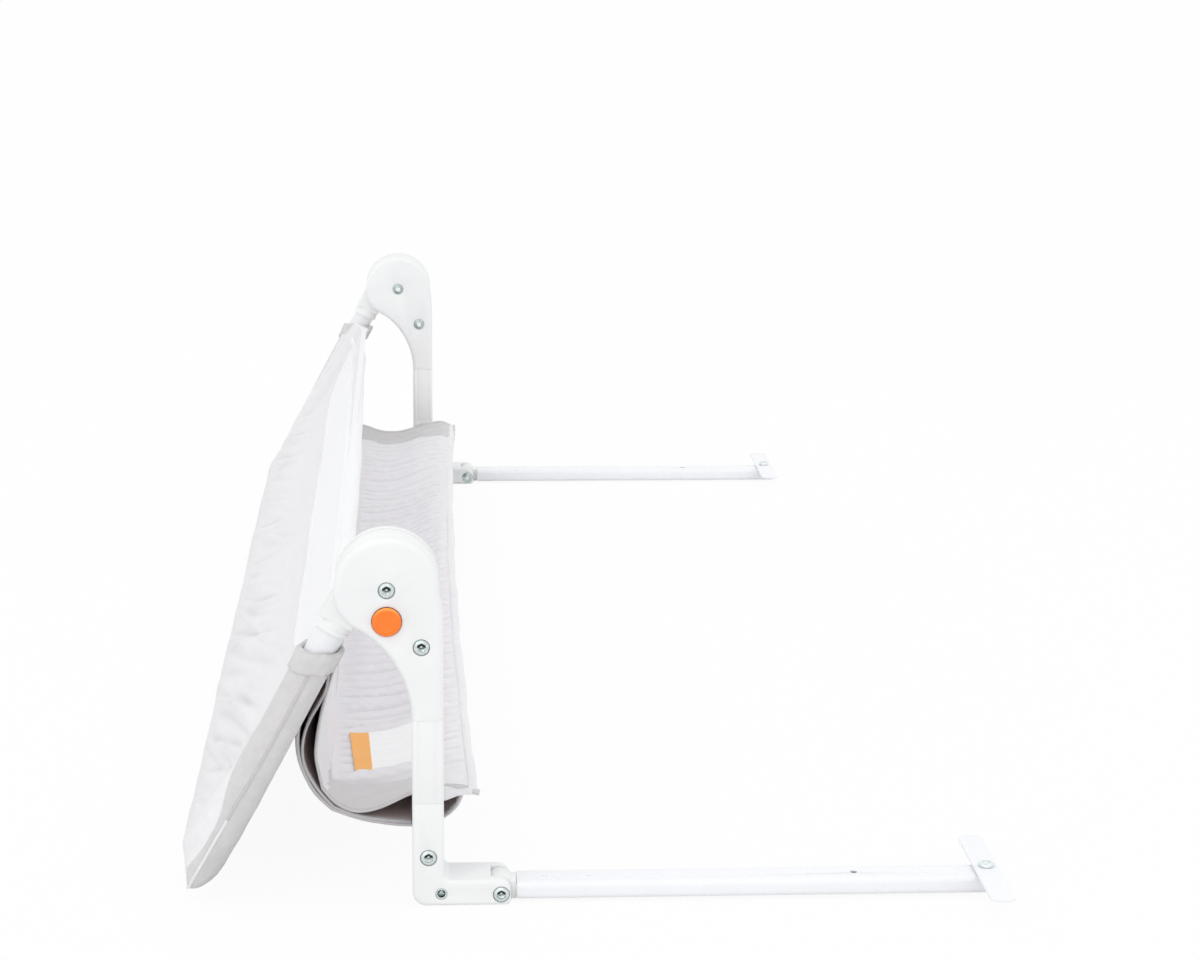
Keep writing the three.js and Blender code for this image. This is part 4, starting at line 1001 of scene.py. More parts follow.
def hollow_rivet():
    low, high = BRACKET_OUTER + RIVET["recess"], BRACKET_INNER - RIVET["recess"]
    hollow, head = RIVET["hollow"], RIVET["head"]
    turns = [math.pi * i / 8 for i in range(9)]
    roll = [(hollow + (head - hollow) / 2 * (1 + math.cos(t)), math.sin(t)) for t in turns]
    front_roll = [(radius, low - 0.9 * height) for radius, height in roll]
    back_roll = [(radius, high + 0.9 * height) for radius, height in roll]
    floor = low + RIVET["deep"]
    profile = [(0.0, floor), (hollow, floor), *front_roll[::-1], (head, low + 0.3),
               (hollow + 0.1, low + 0.3), (hollow + 0.1, high - 0.3), (head, high - 0.3), *back_roll,
               (hollow, high - 3), (0.0, high - 3)]
    x, z = RIVET["x"], RIVET["z"]
    # Painted shade: the rivet's hollow, from 1.4 mm below its axis up, takes the near-black second look.
    rivet = shade_inside(turned(profile, x, z, 48), x, z, hollow + 0.02, high=floor + 1,
                         above=RIVET["shade_above"])
    at_both_ends(rivet, "hollow_rivet", "legs", ("zinc", "socket"), ["bracket_rivet"])


leg_post()
corner_bracket()
hollow_rivet()

# %% [markdown]
# The arm is a flat-sided tube with well rounded corners. A moulded tongue fills its pivot end, and a cap
# closes the other. The cross plate is a stamped bar: rounded corners, a rolled upper edge and one screw.

# %% Arms and cross plates
ARM = {"low": 1.5, "width": 30.0, "height": 13.0, "round": 4.2, "start": 91.3, "end": 440.0, "cap": 2.0,
       "wall": 1.5, "hole": 335.0, "hole_radius": 2.6, "mouth": 0.35}
TONGUE = {"outer": 11.9, "inner": 31.8, "radius": 10.2, "bottom": 0.6, "inset": 1.9, "in_tube": 38.0}
PLATE = {"x": 431.6, "length": 142.0, "width": 18.4, "thickness": 2.6, "round": 6.0, "screw_end": 8.0}
ARM_TOP = ARM["low"] + ARM["height"]


def arm_section(inset=0.0):
    low = (MID - ARM["width"] / 2 + inset, ARM["low"] + inset)
    high = (MID + ARM["width"] / 2 - inset, ARM_TOP - inset)
    return rounded_rectangle(low, high, ARM["round"] - inset, 7)


def arm_pieces():
    tube = slab(arm_section(), ARM["start"], ARM["end"], ARM["mouth"], 2, axis="X")
    bore = slab(arm_section(ARM["wall"]), ARM["start"] - 5, ARM["end"] + 5, axis="X")
    holes = [upright_rod(ARM["hole_radius"], ARM_TOP - 4, ARM_TOP + 4, ARM["hole"], MID), bore]
    at_both_ends(soften(boolean(tube, holes), 0.3, 2, 50), "flat_arm", "{end}_arm", "arm_paint", ["arm_tube"])
    x, z = SCREWS["arm"]
    outer, inner, radius = TONGUE["outer"], TONGUE["inner"], TONGUE["radius"]
    flat = block((x - 20, outer - 5, z - 20), (x + 20, inner + 5, TONGUE["bottom"]))
    eye = boolean(rod(radius, outer, inner, x, z, 72), [flat])
    neck = block((x, outer, ARM["low"]), (ARM["start"] - GAP, inner, ARM_TOP))
    spigot = slab(arm_section(TONGUE["inset"]), ARM["start"] - 2 * GAP, ARM["start"] + TONGUE["in_tube"],
                  axis="X")
    tongue = boolean(eye, [neck, spigot], "UNION")
    at_both_ends(soften(tongue, 0.5, 2), "arm_tongue", "{end}_arm", "moulding", ["arm_knuckle"])
    cap = slab(arm_section(0.1), ARM["end"] + GAP, ARM["end"] + GAP + ARM["cap"], 0.8, 4, axis="X")
    at_both_ends(cap, "arm_cap", "{end}_arm", "moulding", ["arm_end_plug"])


def cross_plate():
    low = ARM_TOP + GAP
    half_width, half_length = PLATE["width"] / 2, PLATE["length"] / 2
    outline = rounded_rectangle((PLATE["x"] - half_width, MID - half_length),
                                (PLATE["x"] + half_width, MID + half_length), PLATE["round"], 10)
    plate = slab(outline, low, low + PLATE["thickness"], 0.8, 4, axis="Z")
    at_both_ends(plate, "cross_bar", "{end}_plate", "arm_paint", ["cross_plate"])
    seat = low + PLATE["thickness"] + GAP
    screw = screw_head(-seat, -PLATE["screw_end"])
    bmesh.ops.transform(screw, matrix=Matrix.Translation((PLATE["x"], MID, 0)) @ LYING, verts=screw.verts)
    at_both_ends(screw, "cross_bar_screw", "{end}_arm", "plate_zinc", ["plate_bolt"])


arm_pieces()
cross_plate()

# %% [markdown]
# All the cloth is made of grids of points. A sheet is given thickness along its normals and closed round its
# edge, because real cloth has two sides and a visible cut edge. The UV map is measured along the cloth in
# metres, so the weave keeps one size everywhere. The creases are drawn as many small ridges with seeded
# places, since a taut cover has its wrinkles where it is pulled, and nowhere else.

# %% Cloth helpers
SEEDS = {"wrinkles": 4207, "pleats": 918, "hem": 77}
THICK = {"netting": 0.6, "tape": 0.9, "patch": 0.5, "tab": 1.4, "outer": 1.3, "middle": 1.0, "lining": 1.2}


def through(points, count):
    """A smooth curve through the points, as so many places at even distances."""
    def at(i, t):
        p = [Vector(points[min(max(i + k, 0), len(points) - 1)]) for k in (-1, 0, 1, 2)]
        return 0.5 * ((2 * p[1]) + (p[2] - p[0]) * t + (2 * p[0] - 5 * p[1] + 4 * p[2] - p[3]) * t * t
                      + (3 * p[1] - p[0] - 3 * p[2] + p[3]) * t ** 3)

    fine = [at(i, k / 12) for i in range(len(points) - 1) for k in range(12)] + [Vector(points[-1])]
    lengths = [0.0]
    for a, b in zip(fine, fine[1:]):
        lengths.append(lengths[-1] + (b - a).length)
    spaced, place = [], 0
    for step in range(count):
        goal = lengths[-1] * step / (count - 1)
        while place < len(fine) - 2 and lengths[place + 1] < goal:
            place += 1
        share = (goal - lengths[place]) / max(lengths[place + 1] - lengths[place], 1e-9)
        spaced.append(fine[place].lerp(fine[place + 1], min(share, 1.0)))
    return spaced


def grid_normals(rows):
    normals = []
    for i, row in enumerate(rows):
        above, below = rows[max(i - 1, 0)], rows[min(i + 1, len(rows) - 1)]
        along = [after - before for before, after in zip([row[0], *row], [*row[1:], row[-1]])]
        normals.append([(b - a).cross(run).normalized() for a, b, run in zip(above, below, along)])
    return normals


def grid_faces(bm, table, flip=False, material=0):
    for upper, lower in zip(table, table[1:]):
        for j in range(len(upper) - 1):
            ring = (upper[j], upper[j + 1], lower[j + 1], lower[j])
            bm.faces.new(ring[::-1] if flip else ring).material_index = material


def join_rings(bm, rings):
    for first, second in zip(rings, rings[1:]):
        for k in range(len(first)):
            following = (k + 1) % len(first)
            bm.faces.new((first[k], first[following], second[following], second[k]))


def mark_fold_shade(bm, table, normals, reach, depth, weight=1.0):
    """Every vertex learns how far it lies below its neighbours, so that painted shade can darken the cloth in its
    folds.
    """
    layer = bm.verts.layers.float["fold_shade"]
    last_row, last_column = len(table) - 1, len(table[0]) - 1
    for i, row in enumerate(table):
        for j, vert in enumerate(row):
            sides = (table[i][max(j - reach, 0)], table[i][min(j + reach, last_column)])
            if 0 < i < last_row and 0 < j < last_column:
                middle = (sides[0].co + sides[1].co) / 2
                below = (middle - vert.co).dot(normals[i][j])
                vert[layer] = weight * min(max(below / depth, 0.0), 1.0)


def lay_weave(bm, table):
    """The UV map: how far along its row and down its column each point lies, in metres of cloth."""
    layer = bm.loops.layers.uv.get("UVMap") or bm.loops.layers.uv.new("UVMap")
    places = {}
    down = [0.0] * len(table[0])
    for i, row in enumerate(table):
        along = 0.0
        for j, vert in enumerate(row):
            if i:
                down[j] += (vert.co - table[i - 1][j].co).length
            if j:
                along += (vert.co - row[j - 1].co).length
            places[vert] = (along * MM, sum(down) / len(down) * MM)
    for face in bm.faces:
        if all(loop.vert in places for loop in face.loops):
            for loop in face.loops:
                loop[layer].uv = places[loop.vert]


def thick_sheet(rows, thickness, front_material=0, back_material=0, edge_material=0, fold_depth=0.0):
    bm = bmesh.new()
    bm.verts.layers.float.new("fold_shade")
    normals = grid_normals(rows)

    def side_of_cloth(lift):
        return [[bm.verts.new(point + normal * lift) for point, normal in zip(row, row_normals)]
                for row, row_normals in zip(rows, normals)]

    def rim(table):
        return [*table[0][:-1], *(row[-1] for row in table[:-1]), *reversed(table[-1][1:]),
                *(row[0] for row in reversed(table[1:]))]

    upper, lower = side_of_cloth(thickness / 2), side_of_cloth(-thickness / 2)
    grid_faces(bm, upper, False, front_material)
    grid_faces(bm, lower, True, back_material)
    edge_up, edge_down = rim(upper), rim(lower)
    for k, vert in enumerate(edge_up):
        following = (k + 1) % len(edge_up)
        face = bm.faces.new((edge_up[following], vert, edge_down[k], edge_down[following]))
        face.material_index = edge_material
    if fold_depth:
        mark_fold_shade(bm, upper, normals, 2, fold_depth)
    lay_weave(bm, upper)
    lay_weave(bm, lower)
    return bm


def cord_along(points, wide, tall, sides):
    """A round or oval cord. Wide and tall are its two half widths."""
    bm = bmesh.new()
    turns = [2 * math.pi * k / sides for k in range(sides)]
    rings, side = [], None
    for i, point in enumerate(points):
        way = (points[min(i + 1, len(points) - 1)] - points[max(i - 1, 0)]).normalized()
        upright = Vector((0, 0, 1)) if abs(way.z) < 0.9 else Vector((1, 0, 0))
        guide = upright if side is None else side
        side = (guide - way * guide.dot(way)).normalized()
        up = way.cross(side)
        rings.append([bm.verts.new(point + side * (wide * math.cos(t)) + up * (tall * math.sin(t)))
                      for t in turns])
    join_rings(bm, rings)
    bm.faces.new(rings[0][::-1])
    bm.faces.new(rings[-1])
    bmesh.ops.recalc_face_normals(bm, faces=bm.faces)
    lay_weave(bm, rings)
    return bm


# %% [markdown]
# The cover is a flat bag pulled over the tube: two layers of cloth that wrap the side tubes and the lower
# bar and are seamed along the middle of their outer side. The bag's corners are square while the tube's are
# round, so the cloth stands away there in a pinched ear. Between the tubes both layers run taut from the bar
# to the hinge side, with slanting pull wrinkles that start at the bar.

# %% Panel cover
COVER = {"radius": 13.4, "level": 19.0, "top": 56.0, "collar_end": 78.0, "corner": 58.4, "arc": 195.0,
         "top_front": 17.0, "top_back": 11.6, "sag": 3.5, "swell": 6.5, "swell_rows": (130, 236),
         "held": (0, 78), "free": (6, 60), "columns": 440, "rows": 62, "corner_rows": 20, "turns": 16,
         "fold_depth": 1.5, "cord": 1.15}
EAR = {"turn": math.radians(54), "width": 0.16, "out": 16.0}
BULGE = {"left": 6.0, "right": 9.0, "grows": (-600, 0), "far_end": (640, 705)}
WRINKLES = {"count": 58, "first": -690.0, "run": 1560.0, "furrow": 0.6, "beside": 1.4, "reach": 1.5,
            "near": (-200, 350)}
SIDE = TUBE["side"]
LOW_BAR = TUBE["reach"]
CORNER_X = SIDE - TUBE["bend"]


def half_width(u):
    if u <= COVER["arc"]:
        return SIDE
    return CORNER_X + math.sqrt(max(TUBE["bend"] ** 2 - (u - COVER["arc"]) ** 2, 0.0))


def cover_levels():
    rows, corner_rows = COVER["rows"], COVER["corner_rows"]
    straight = [COVER["top"] + (COVER["arc"] - COVER["top"]) * i / rows for i in range(rows + 1)]
    turns = [math.pi / 2 * i / corner_rows for i in range(1, corner_rows + 1)]
    return straight + [COVER["arc"] + TUBE["bend"] * math.sin(t) for t in turns]


def pull_wrinkles():
    maker = random.Random(SEEDS["wrinkles"])
    wrinkles = []
    for k in range(WRINKLES["count"]):
        x = WRINKLES["first"] + WRINKLES["run"] * (k + maker.uniform(-0.4, 0.4)) / (WRINKLES["count"] - 1)
        near = smooth(-x, *WRINKLES["near"])
        wrinkles.append({"x": x, "slant": maker.uniform(2.2, 4.4), "length": maker.uniform(22, 60) + 22 * near,
                         "width": maker.uniform(3.2, 6.0), "height": maker.uniform(0.5, 1.6) + 0.9 * near,
                         "bow": maker.uniform(-0.012, 0.012), "start": maker.uniform(0, 30)})
    return wrinkles


def wrinkle_height(wrinkles, x, u):
    total = 0.0
    for w in wrinkles:
        rise = LOW_BAR - w["start"] - u
        if rise < -34 or rise > w["length"] * WRINKLES["reach"]:
            continue
        centre = w["x"] - w["slant"] * rise - w["bow"] * rise * rise
        off = (x - centre) / math.hypot(1, w["slant"])
        if abs(off) > 4 * w["width"]:
            continue
        fade = smooth(rise, -30, 6) * (1 - smooth(rise, 0.3 * w["length"], WRINKLES["reach"] * w["length"]))
        off /= w["width"]
        furrow = WRINKLES["furrow"] * math.exp(-(off - WRINKLES["beside"]) ** 2)
        total += w["height"] * fade * (math.exp(-off ** 2) - furrow)
    return total * (0.3 + 0.7 * smooth(LOW_BAR - u, 2, 18))


def broad_swell(x, u):
    low = smooth(u, 80, 200)
    return (1.6 * math.sin(x / 83 + u / 60) + 1.1 * math.sin(x / 37 - u / 41 + 1.3)) * low


def layer_level(x, u, side, wrinkles):
    share = min(max((u - COVER["top"]) / (LOW_BAR - COVER["top"]), 0.0), 1.0)
    top = COVER["top_front"] if side > 0 else COVER["top_back"]
    bar = COVER["level"] + side * COVER["radius"]
    taut = top + (bar - top) * share ** 1.15 - side * COVER["sag"] * max(math.sin(math.pi * share), 0.0) ** 1.3
    edge = half_width(u) - abs(x)
    hold = 1 - smooth(edge, *COVER["held"])
    level = taut + (bar - taut) * hold ** 1.4
    free = smooth(edge, *COVER["free"])
    detail = broad_swell(x, u) * free * (1 - smooth(u, 215, 240) * 0.75)
    creases = wrinkle_height(wrinkles, x, u) * (0.25 + 0.75 * free)
    if side > 0:
        swell = COVER["swell"] * smooth(u, *COVER["swell_rows"]) * (1 - 0.9 * smooth(x, 640, 712))
        return level + swell + detail + creases
    return level - detail - creases * 0.5


def cover_reach(x, u):
    """How far the cloth stands out round a tube, and how much of the corner's pinched ear is in it."""
    bulge = BULGE["left"] + (BULGE["right"] - BULGE["left"]) * smooth(x, *BULGE["grows"])
    bulge *= 1 - smooth(x, *BULGE["far_end"])
    if abs(x) <= CORNER_X and u > COVER["arc"]:
        return COVER["radius"] + bulge, 0.0
    if u <= COVER["arc"] or x > 0:
        return COVER["radius"], 0.0
    turn = math.atan2(u - COVER["arc"], abs(x) - CORNER_X)
    square = (abs(math.cos(turn)) ** 4 + abs(math.sin(turn)) ** 4) ** (-1 / 4)
    ear = math.exp(-((turn - EAR["turn"]) / EAR["width"]) ** 2)
    below = bulge * smooth(turn, 0.9, math.pi / 2)
    return COVER["corner"] * square - TUBE["bend"] + EAR["out"] * ear + below, ear


def outward(x, u):
    if u > COVER["arc"] and abs(x) > CORNER_X:
        return Vector((x - math.copysign(CORNER_X, x), u - COVER["arc"])).normalized()
    if u <= COVER["arc"]:
        return Vector((math.copysign(1.0, x), 0.0))
    return Vector((0.0, 1.0))


def painted_shade_reach(point):
    """How many millimetres a point lies inside the greyer colour that is painted round the side tube as shade."""
    out, turn = abs(point.x) - SIDE, 0.0
    if point.y > COVER["arc"]:
        off = Vector((abs(point.x) - CORNER_X, point.y - COVER["arc"]))
        out, turn = off.length - TUBE["bend"], math.atan2(off.y, off.x)
    if point.z < COVER["level"]:
        reach = out + 9
    else:
        along = out if out < 0 else COVER["radius"] * math.atan2(out, point.z - COVER["level"])
        reach = along + 9 + 1.2 * math.sin(point.y / 17) - 26 * smooth(point.y, 110, 236)
    return min(reach, 45 * (0.95 - turn))


def cover_layer(bm, side, wrinkles):
    table = []
    for u in cover_levels():
        row = []
        for j in range(COVER["columns"] + 1):
            share = 2 * j / COVER["columns"] - 1
            start = COVER["top"] + (COVER["collar_end"] - COVER["top"]) * smooth(abs(share), 0.955, 0.982)
            level = start + (u - COVER["top"]) * (LOW_BAR - start) / (LOW_BAR - COVER["top"])
            x = share * half_width(level)
            row.append(bm.verts.new((x, level, layer_level(x, level, side, wrinkles))))
        table.append(row)
    grid_faces(bm, table, side > 0)
    return table


def cover_strip(bm, top, bottom):
    """The cloth that goes round a tube, from a point of the front layer to the one behind it."""
    x, u = top.co.x, top.co.y
    reach, ear = cover_reach(x, u)
    way = outward(x, u)
    half, middle = (top.co.z - bottom.co.z) / 2, (top.co.z + bottom.co.z) / 2
    fuller = smooth(reach, COVER["radius"] + 4, COVER["radius"] + 14)
    strip = [top]
    for k in range(1, COVER["turns"]):
        turn = math.pi * k / COVER["turns"]
        behind = 2 * k > COVER["turns"]
        out = reach * math.sin(turn) ** (1 - 0.35 * fuller * behind)
        pinch = 1 - (0.25 * fuller + 0.6 * ear) * math.sin(turn) ** 2 * (1 - 0.7 * behind)
        crinkle = 0.5 * math.sin(x / 7.0 + u / 5.0 + k) * math.sin(turn) * ear
        strip.append(bm.verts.new((x + way.x * out, u + way.y * out,
                                   middle + half * math.cos(turn) * pinch + crinkle)))
    return [*strip, bottom]


def round_the_bag(table):
    return [row[0] for row in table] + table[-1][1:-1] + [row[-1] for row in reversed(table)]


def panel_cover():
    wrinkles = pull_wrinkles()
    bm = bmesh.new()
    for name in ("fold_shade", "end"):
        bm.verts.layers.float.new(name)
    faced, backed = (cover_layer(bm, side, wrinkles) for side in (1, -1))
    strips = [cover_strip(bm, *pair) for pair in zip(round_the_bag(faced), round_the_bag(backed))]
    for first, second in zip(strips, strips[1:]):
        for k in range(COVER["turns"]):
            bm.faces.new((first[k], second[k], second[k + 1], first[k + 1]))
    grid_faces(bm, (faced[0], backed[0]))
    for strip in (strips[0], strips[-1]):
        bm.faces.new(strip)
    bmesh.ops.recalc_face_normals(bm, faces=bm.faces)
    mark_fold_shade(bm, faced, [[Vector((0, 0, 1))] * len(row) for row in faced], 3, COVER["fold_depth"], 0.8)
    for table in (faced, backed, strips):
        lay_weave(bm, table)
    layer = bm.verts.layers.float["end"]
    for vert in bm.verts:
        vert[layer] = min(max(0.5 + painted_shade_reach(vert.co) / 8, 0.0), 1.0)
    seam = [strip[COVER["turns"] // 2].co.copy() for strip in strips]
    return settle(bm, "panel_cover", panel_frame, "panel", "cover", ["cover"], 60), seam


cover, cover_seam = panel_cover()

# %% [markdown]
# A corded seam runs round the bag from one collar to the other. It is a thin cord: grey thread down both
# side tubes, and the cover's own cloth along the lower bar.

# %% Cover seam
def seam_route(points, step=3.0):
    kept = [points[0]]
    for point in points[1:]:
        if (point - kept[-1]).length >= step:
            kept.append(point)
    return kept


seam_cord = cord_along(seam_route(cover_seam), COVER["cord"], COVER["cord"], 8)
for face in seam_cord.faces:
    face.material_index = 0 if face.calc_center_median().y < COVER["arc"] + 8 else 1
settle(seam_cord, "cover_seam_cord", panel_frame, "panel", ("thread", "cloth"))

# %% [markdown]
# The netting is a separate fabric, sewn in along the hinge side. Its lower edge starts at nothing near the
# ends and is straight along the middle. A white tape covers the seam on both edges.

# %% Netting window
WINDOW = {"top": 60.5, "bottom": 120.0, "half": 680.0, "straight": 480.0, "lift": 0.9, "columns": 340,
          "rows": 20, "billow": 0.8, "far_shift": (-300, 640)}
TURN_IN = [(60.5, 4.2), (55.6, 3.6), (51.6, 5.6), (49.8, 9.6), (50.6, 13.8), (54.2, 17.0)]


def window_bottom(x):
    t = max((abs(x) - WINDOW["straight"]) / (WINDOW["half"] - WINDOW["straight"]), 0.0)
    return WINDOW["top"] + (WINDOW["bottom"] - WINDOW["top"]) * max(1 - t * t, 0.0) ** 0.8


def window_pieces():
    wrinkles = pull_wrinkles()
    half = WINDOW["half"] - 1.5
    columns, rows = WINDOW["columns"], WINDOW["rows"]

    def at(x, share, lift):
        start = WINDOW["top"] + 11 * smooth(x, *WINDOW["far_shift"])
        u = start + max(window_bottom(x) - start, 1.0 + 2 * share) * share
        billow = WINDOW["billow"] * math.sin(math.pi * share) * (1 + 0.5 * math.sin(x / 61))
        return Vector((x, u, layer_level(x, u, 1, wrinkles) + lift + billow))

    def folded_round(x, u, level):
        close = smooth(abs(x), 560, half)
        u += (max(u, 55.0) - u) * close + 15 * smooth(x, *WINDOW["far_shift"]) + 0.4 * math.sin(x / 53)
        return Vector((x, u, level + (max(level, 10.4) - level) * close + 0.3 * math.sin(x / 31)))

    across_rail = [-half + 2 * half * j / columns for j in range(columns + 1)]
    folded = through([(u, level, 0) for u, level in TURN_IN], 12)
    table = [[folded_round(x, p.x, p.y) for x in across_rail] for p in folded]
    table += [[at(x, i / rows, WINDOW["lift"]) for x in across_rail] for i in range(rows + 1)]
    net = thick_sheet(table, THICK["netting"])
    piece = settle(net, "netting_window", panel_frame, "panel", "netting", ["mesh_window"])
    for name, run, share, wide in (("window_lower_tape", 1, 1.0, 3.2), ("window_upper_tape", -1, 0.0, 2.4)):
        edge = [at(run * x, share, WINDOW["lift"] + 0.35) for x in across_rail]
        ways = [(edge[min(j + 1, columns)] - edge[max(j - 1, 0)]).normalized() for j in range(columns + 1)]
        across = [Vector((-way.y, way.x, 0)) for way in ways]
        tape = [[p + a * (wide * k / 2) for p, a in zip(edge, across)] for k in (-1, 0, 1)]
        settle(thick_sheet(tape, THICK["tape"]), name, panel_frame, "panel", "netting")
    return piece


window = window_pieces()

# %% [markdown]
# The trough below the panel is slack cloth in three layers: the outer sheet that hangs from the panel's hinge
# side and comes up again at the bed side, a loose middle fold, and the pleated lining. Each layer's cross
# section is drawn at a few places along the rail, and the sheet runs smoothly through them. A section has two
# runs, the wall and the floor, so the seam between them stays on one row.

# %% Trough layers
TROUGH = {"start": 47.5, "length": 1405.0, "sag": 7.0, "far_shift": 6.0, "fold_depth": 2.6, "wall_rows": 26,
          "floor_rows": 26}
PLEAT = {"height": 4.0, "first": 66.0, "end": 24.0, "ridge": 4.6, "furrow": 0.5, "beside": 7.4, "width": 4.2,
         "reach": 16.0, "under_patch": 0.35}
MARGIN = {"near": 60.0, "far": 1326.0, "slant": 0.1, "depth": 1.5, "groove": 1.6, "wall": -44.0, "hem": 34.0,
          "below": 76.0}
OUTER = {
    0: ([(-33, 181), (-37, 175), (-46, 158), (-56.9, 138.4), (-64.3, 120.9), (-65.4, 103.2), (-62.2, 88.4),
         (-53.5, 70.5), (-40.8, 57.6)],
        [(-40.8, 57.6), (-21, 50.7), (-1.1, 47.1), (16, 45.7), (30, 47.5), (41.7, 52.9), (50.0, 61.5),
         (52.2, 68), (56, 71.6)]),
    700: ([(-33, 181), (-37, 173), (-50, 150), (-60, 125), (-61, 95), (-55, 69), (-43, 54)],
          [(-43, 54), (-20, 47.5), (0, 46.5), (20, 49), (36, 56), (46, 65), (55, 70)]),
    1405: ([(-33, 181), (-38, 168), (-51, 140), (-56, 115), (-55, 92), (-50, 70), (-38, 59)],
           [(-38, 59), (-20, 55), (0, 55), (25, 63), (46, 69), (56, 67), (60, 64.5)]),
}
MIDDLE_NEAR = ([(-33.5, 179), (-38.5, 169), (-42, 158), (-44.1, 147.1), (-49.1, 136.9), (-56.6, 123.7),
                (-60.6, 112), (-61.8, 100.2), (-59.4, 88), (-50.4, 71.8), (-39.6, 59.4)],
               [(-39.6, 59.4), (-20.8, 52.4), (0, 48.9), (16, 47.6)])
LINING = {
    0: ([(-32.5, 177), (-36, 168), (-39.7, 158), (-47.1, 132.5), (-51.6, 108.9), (-52, 94.2), (-47.8, 73.4)],
        [(-47.8, 73.4), (-38, 62.2), (-23.8, 56.0), (-6.7, 58.6), (16.1, 68.9), (33, 73.5), (47, 73.8),
         (57, 72.6)]),
    60: ([(-32.5, 177), (-36, 163), (-41, 140), (-44.5, 112), (-44.5, 88), (-41.5, 64)],
         [(-41.5, 64), (-26, 59.5), (-4, 59), (16, 62), (34, 67.5), (47, 72), (57, 72.4)]),
    400: ([(-32.5, 177), (-36.5, 162), (-43, 135), (-47.5, 105), (-48, 82), (-45.5, 62)],
          [(-45.5, 62), (-26, 56.5), (-2, 56), (18, 59.5), (36, 66), (47, 71), (57, 72.2)]),
    900: ([(-32.5, 177), (-37, 160), (-44, 132), (-48, 102), (-47, 80), (-44, 62)],
          [(-44, 62), (-24, 57), (0, 57), (20, 61), (38, 68), (48, 71.5), (57, 72.2)]),
    1405: ([(-32.5, 177), (-37, 158), (-42.5, 125), (-45.5, 98), (-44, 84), (-41.5, 73.5)],
           [(-41.5, 73.5), (-22, 65.5), (1.2, 64.5), (24.6, 71), (47.9, 76), (59, 71.5), (65, 66.5)]),
}


def runs_at(stations, distance):
    """Wall and floor of a layer's section, between the two drawn sections on either side."""
    places = sorted(stations)
    after = next((i for i, place in enumerate(places) if place >= distance), len(places) - 1)
    before = max(after - 1, 0)
    span = max(places[after] - places[before], 1e-6)
    share = smooth(distance, places[before], places[before] + span)
    runs = []
    for part, count in ((0, TROUGH["wall_rows"]), (1, TROUGH["floor_rows"])):
        first, second = (through([(x, z, 0) for x, z in stations[place][part]], count)
                         for place in (places[before], places[after]))
        runs.append([a.lerp(b, share) for a, b in zip(first, second)])
    return runs


def middle_runs(distance):
    outer, lining = runs_at(OUTER, distance), runs_at(LINING, distance)
    lift, last = Vector((0, 1.5, 0)), TROUGH["wall_rows"] - 1
    wall = [a.lerp(b, 0.5).lerp(a + lift, smooth(k / last, 0.55, 1.0))
            for k, (a, b) in enumerate(zip(outer[0], lining[0]))]
    floor = through([point + lift for point in outer[1][:15]], TROUGH["floor_rows"])
    near = [through([(x, z, 0) for x, z in run], len(other)) for run, other in zip(MIDDLE_NEAR, (wall, floor))]
    share = smooth(distance, 6, 80)
    return [[a.lerp(b, share) for a, b in zip(first, second)] for first, second in zip(near, (wall, floor))]


def section_at(stations, distance):
    runs = middle_runs(distance) if stations is None else runs_at(stations, distance)
    sway = TROUGH["sag"] * math.sin(math.pi * distance / TROUGH["length"])
    shift = TROUGH["far_shift"] * smooth(distance, 300, TROUGH["length"])
    points = []
    for point in runs[0] + runs[1][1:]:
        reach = smooth(point.x, -45, 50)
        points.append((point.x - sway * reach - shift * smooth(point.y, 105, 165), point.y))
    return points


def pleat_places():
    maker = random.Random(SEEDS["pleats"])
    places, along = [], PLEAT["first"]
    while along < TROUGH["length"] - PLEAT["end"]:
        size = maker.uniform(0.55, 1.25) * (1.35 - 0.5 * smooth(along, 200, 650))
        places.append((along, size, maker.uniform(0.16, 0.42)))
        along += maker.uniform(15, 29)
    return places


PATCH = {"corner": (-32.0, 182.5), "across": Vector((0.93, 0.368)), "down": Vector((0.061, -0.998)),
         "wide": 68.0, "long": 104.0, "strip": 14.0, "lift": 1.4, "columns": 36, "rows": 44}
PLEATS = pleat_places()


def in_patch(x, distance):
    across, down = PATCH["across"], PATCH["down"]
    off = Vector((x - PATCH["corner"][0], distance - PATCH["corner"][1]))
    turn = across.x * down.y - across.y * down.x
    inside = 1.0
    for place, size in (((off.x * down.y - off.y * down.x) / turn, PATCH["wide"]),
                        ((across.x * off.y - across.y * off.x) / turn, PATCH["long"])):
        inside *= smooth(place, -6, 4) * (1 - smooth(place, size - 4, size + 6))
    return inside


def pleat_height(x, distance):
    total = 0.0
    for place, size, slant in PLEATS:
        off = distance - place - slant * (x + 40) - 2.0 * math.sin(x / 19 + place)
        if abs(off) < PLEAT["reach"]:
            furrow = PLEAT["furrow"] * math.exp(-((off - PLEAT["beside"]) / PLEAT["width"]) ** 2)
            total += size * (math.exp(-(off / PLEAT["ridge"]) ** 2) - furrow)
    ends = smooth(distance, 58, 76) * (1 - smooth(distance, TROUGH["length"] - 34, TROUGH["length"] - 18))
    return PLEAT["height"] * total * ends * (1 - (1 - PLEAT["under_patch"]) * in_patch(x, distance))


def sheet_rows(stations, columns, height):
    sections = [section_at(stations, TROUGH["length"] * j / (columns - 1)) for j in range(columns)]
    rows = []
    for i in range(len(sections[0])):
        row = []
        for j, section in enumerate(sections):
            distance = TROUGH["length"] * j / (columns - 1)
            x, z = section[i]
            before, after = section[max(i - 1, 0)], section[min(i + 1, len(section) - 1)]
            way = Vector((after[0] - before[0], after[1] - before[1])).normalized()
            rise = height(i, x, distance)
            y = -SIDE - MID + TROUGH["start"] + distance
            row.append(Vector((x - way.y * rise, y, z + way.x * rise)))
        rows.append(row)
    return rows


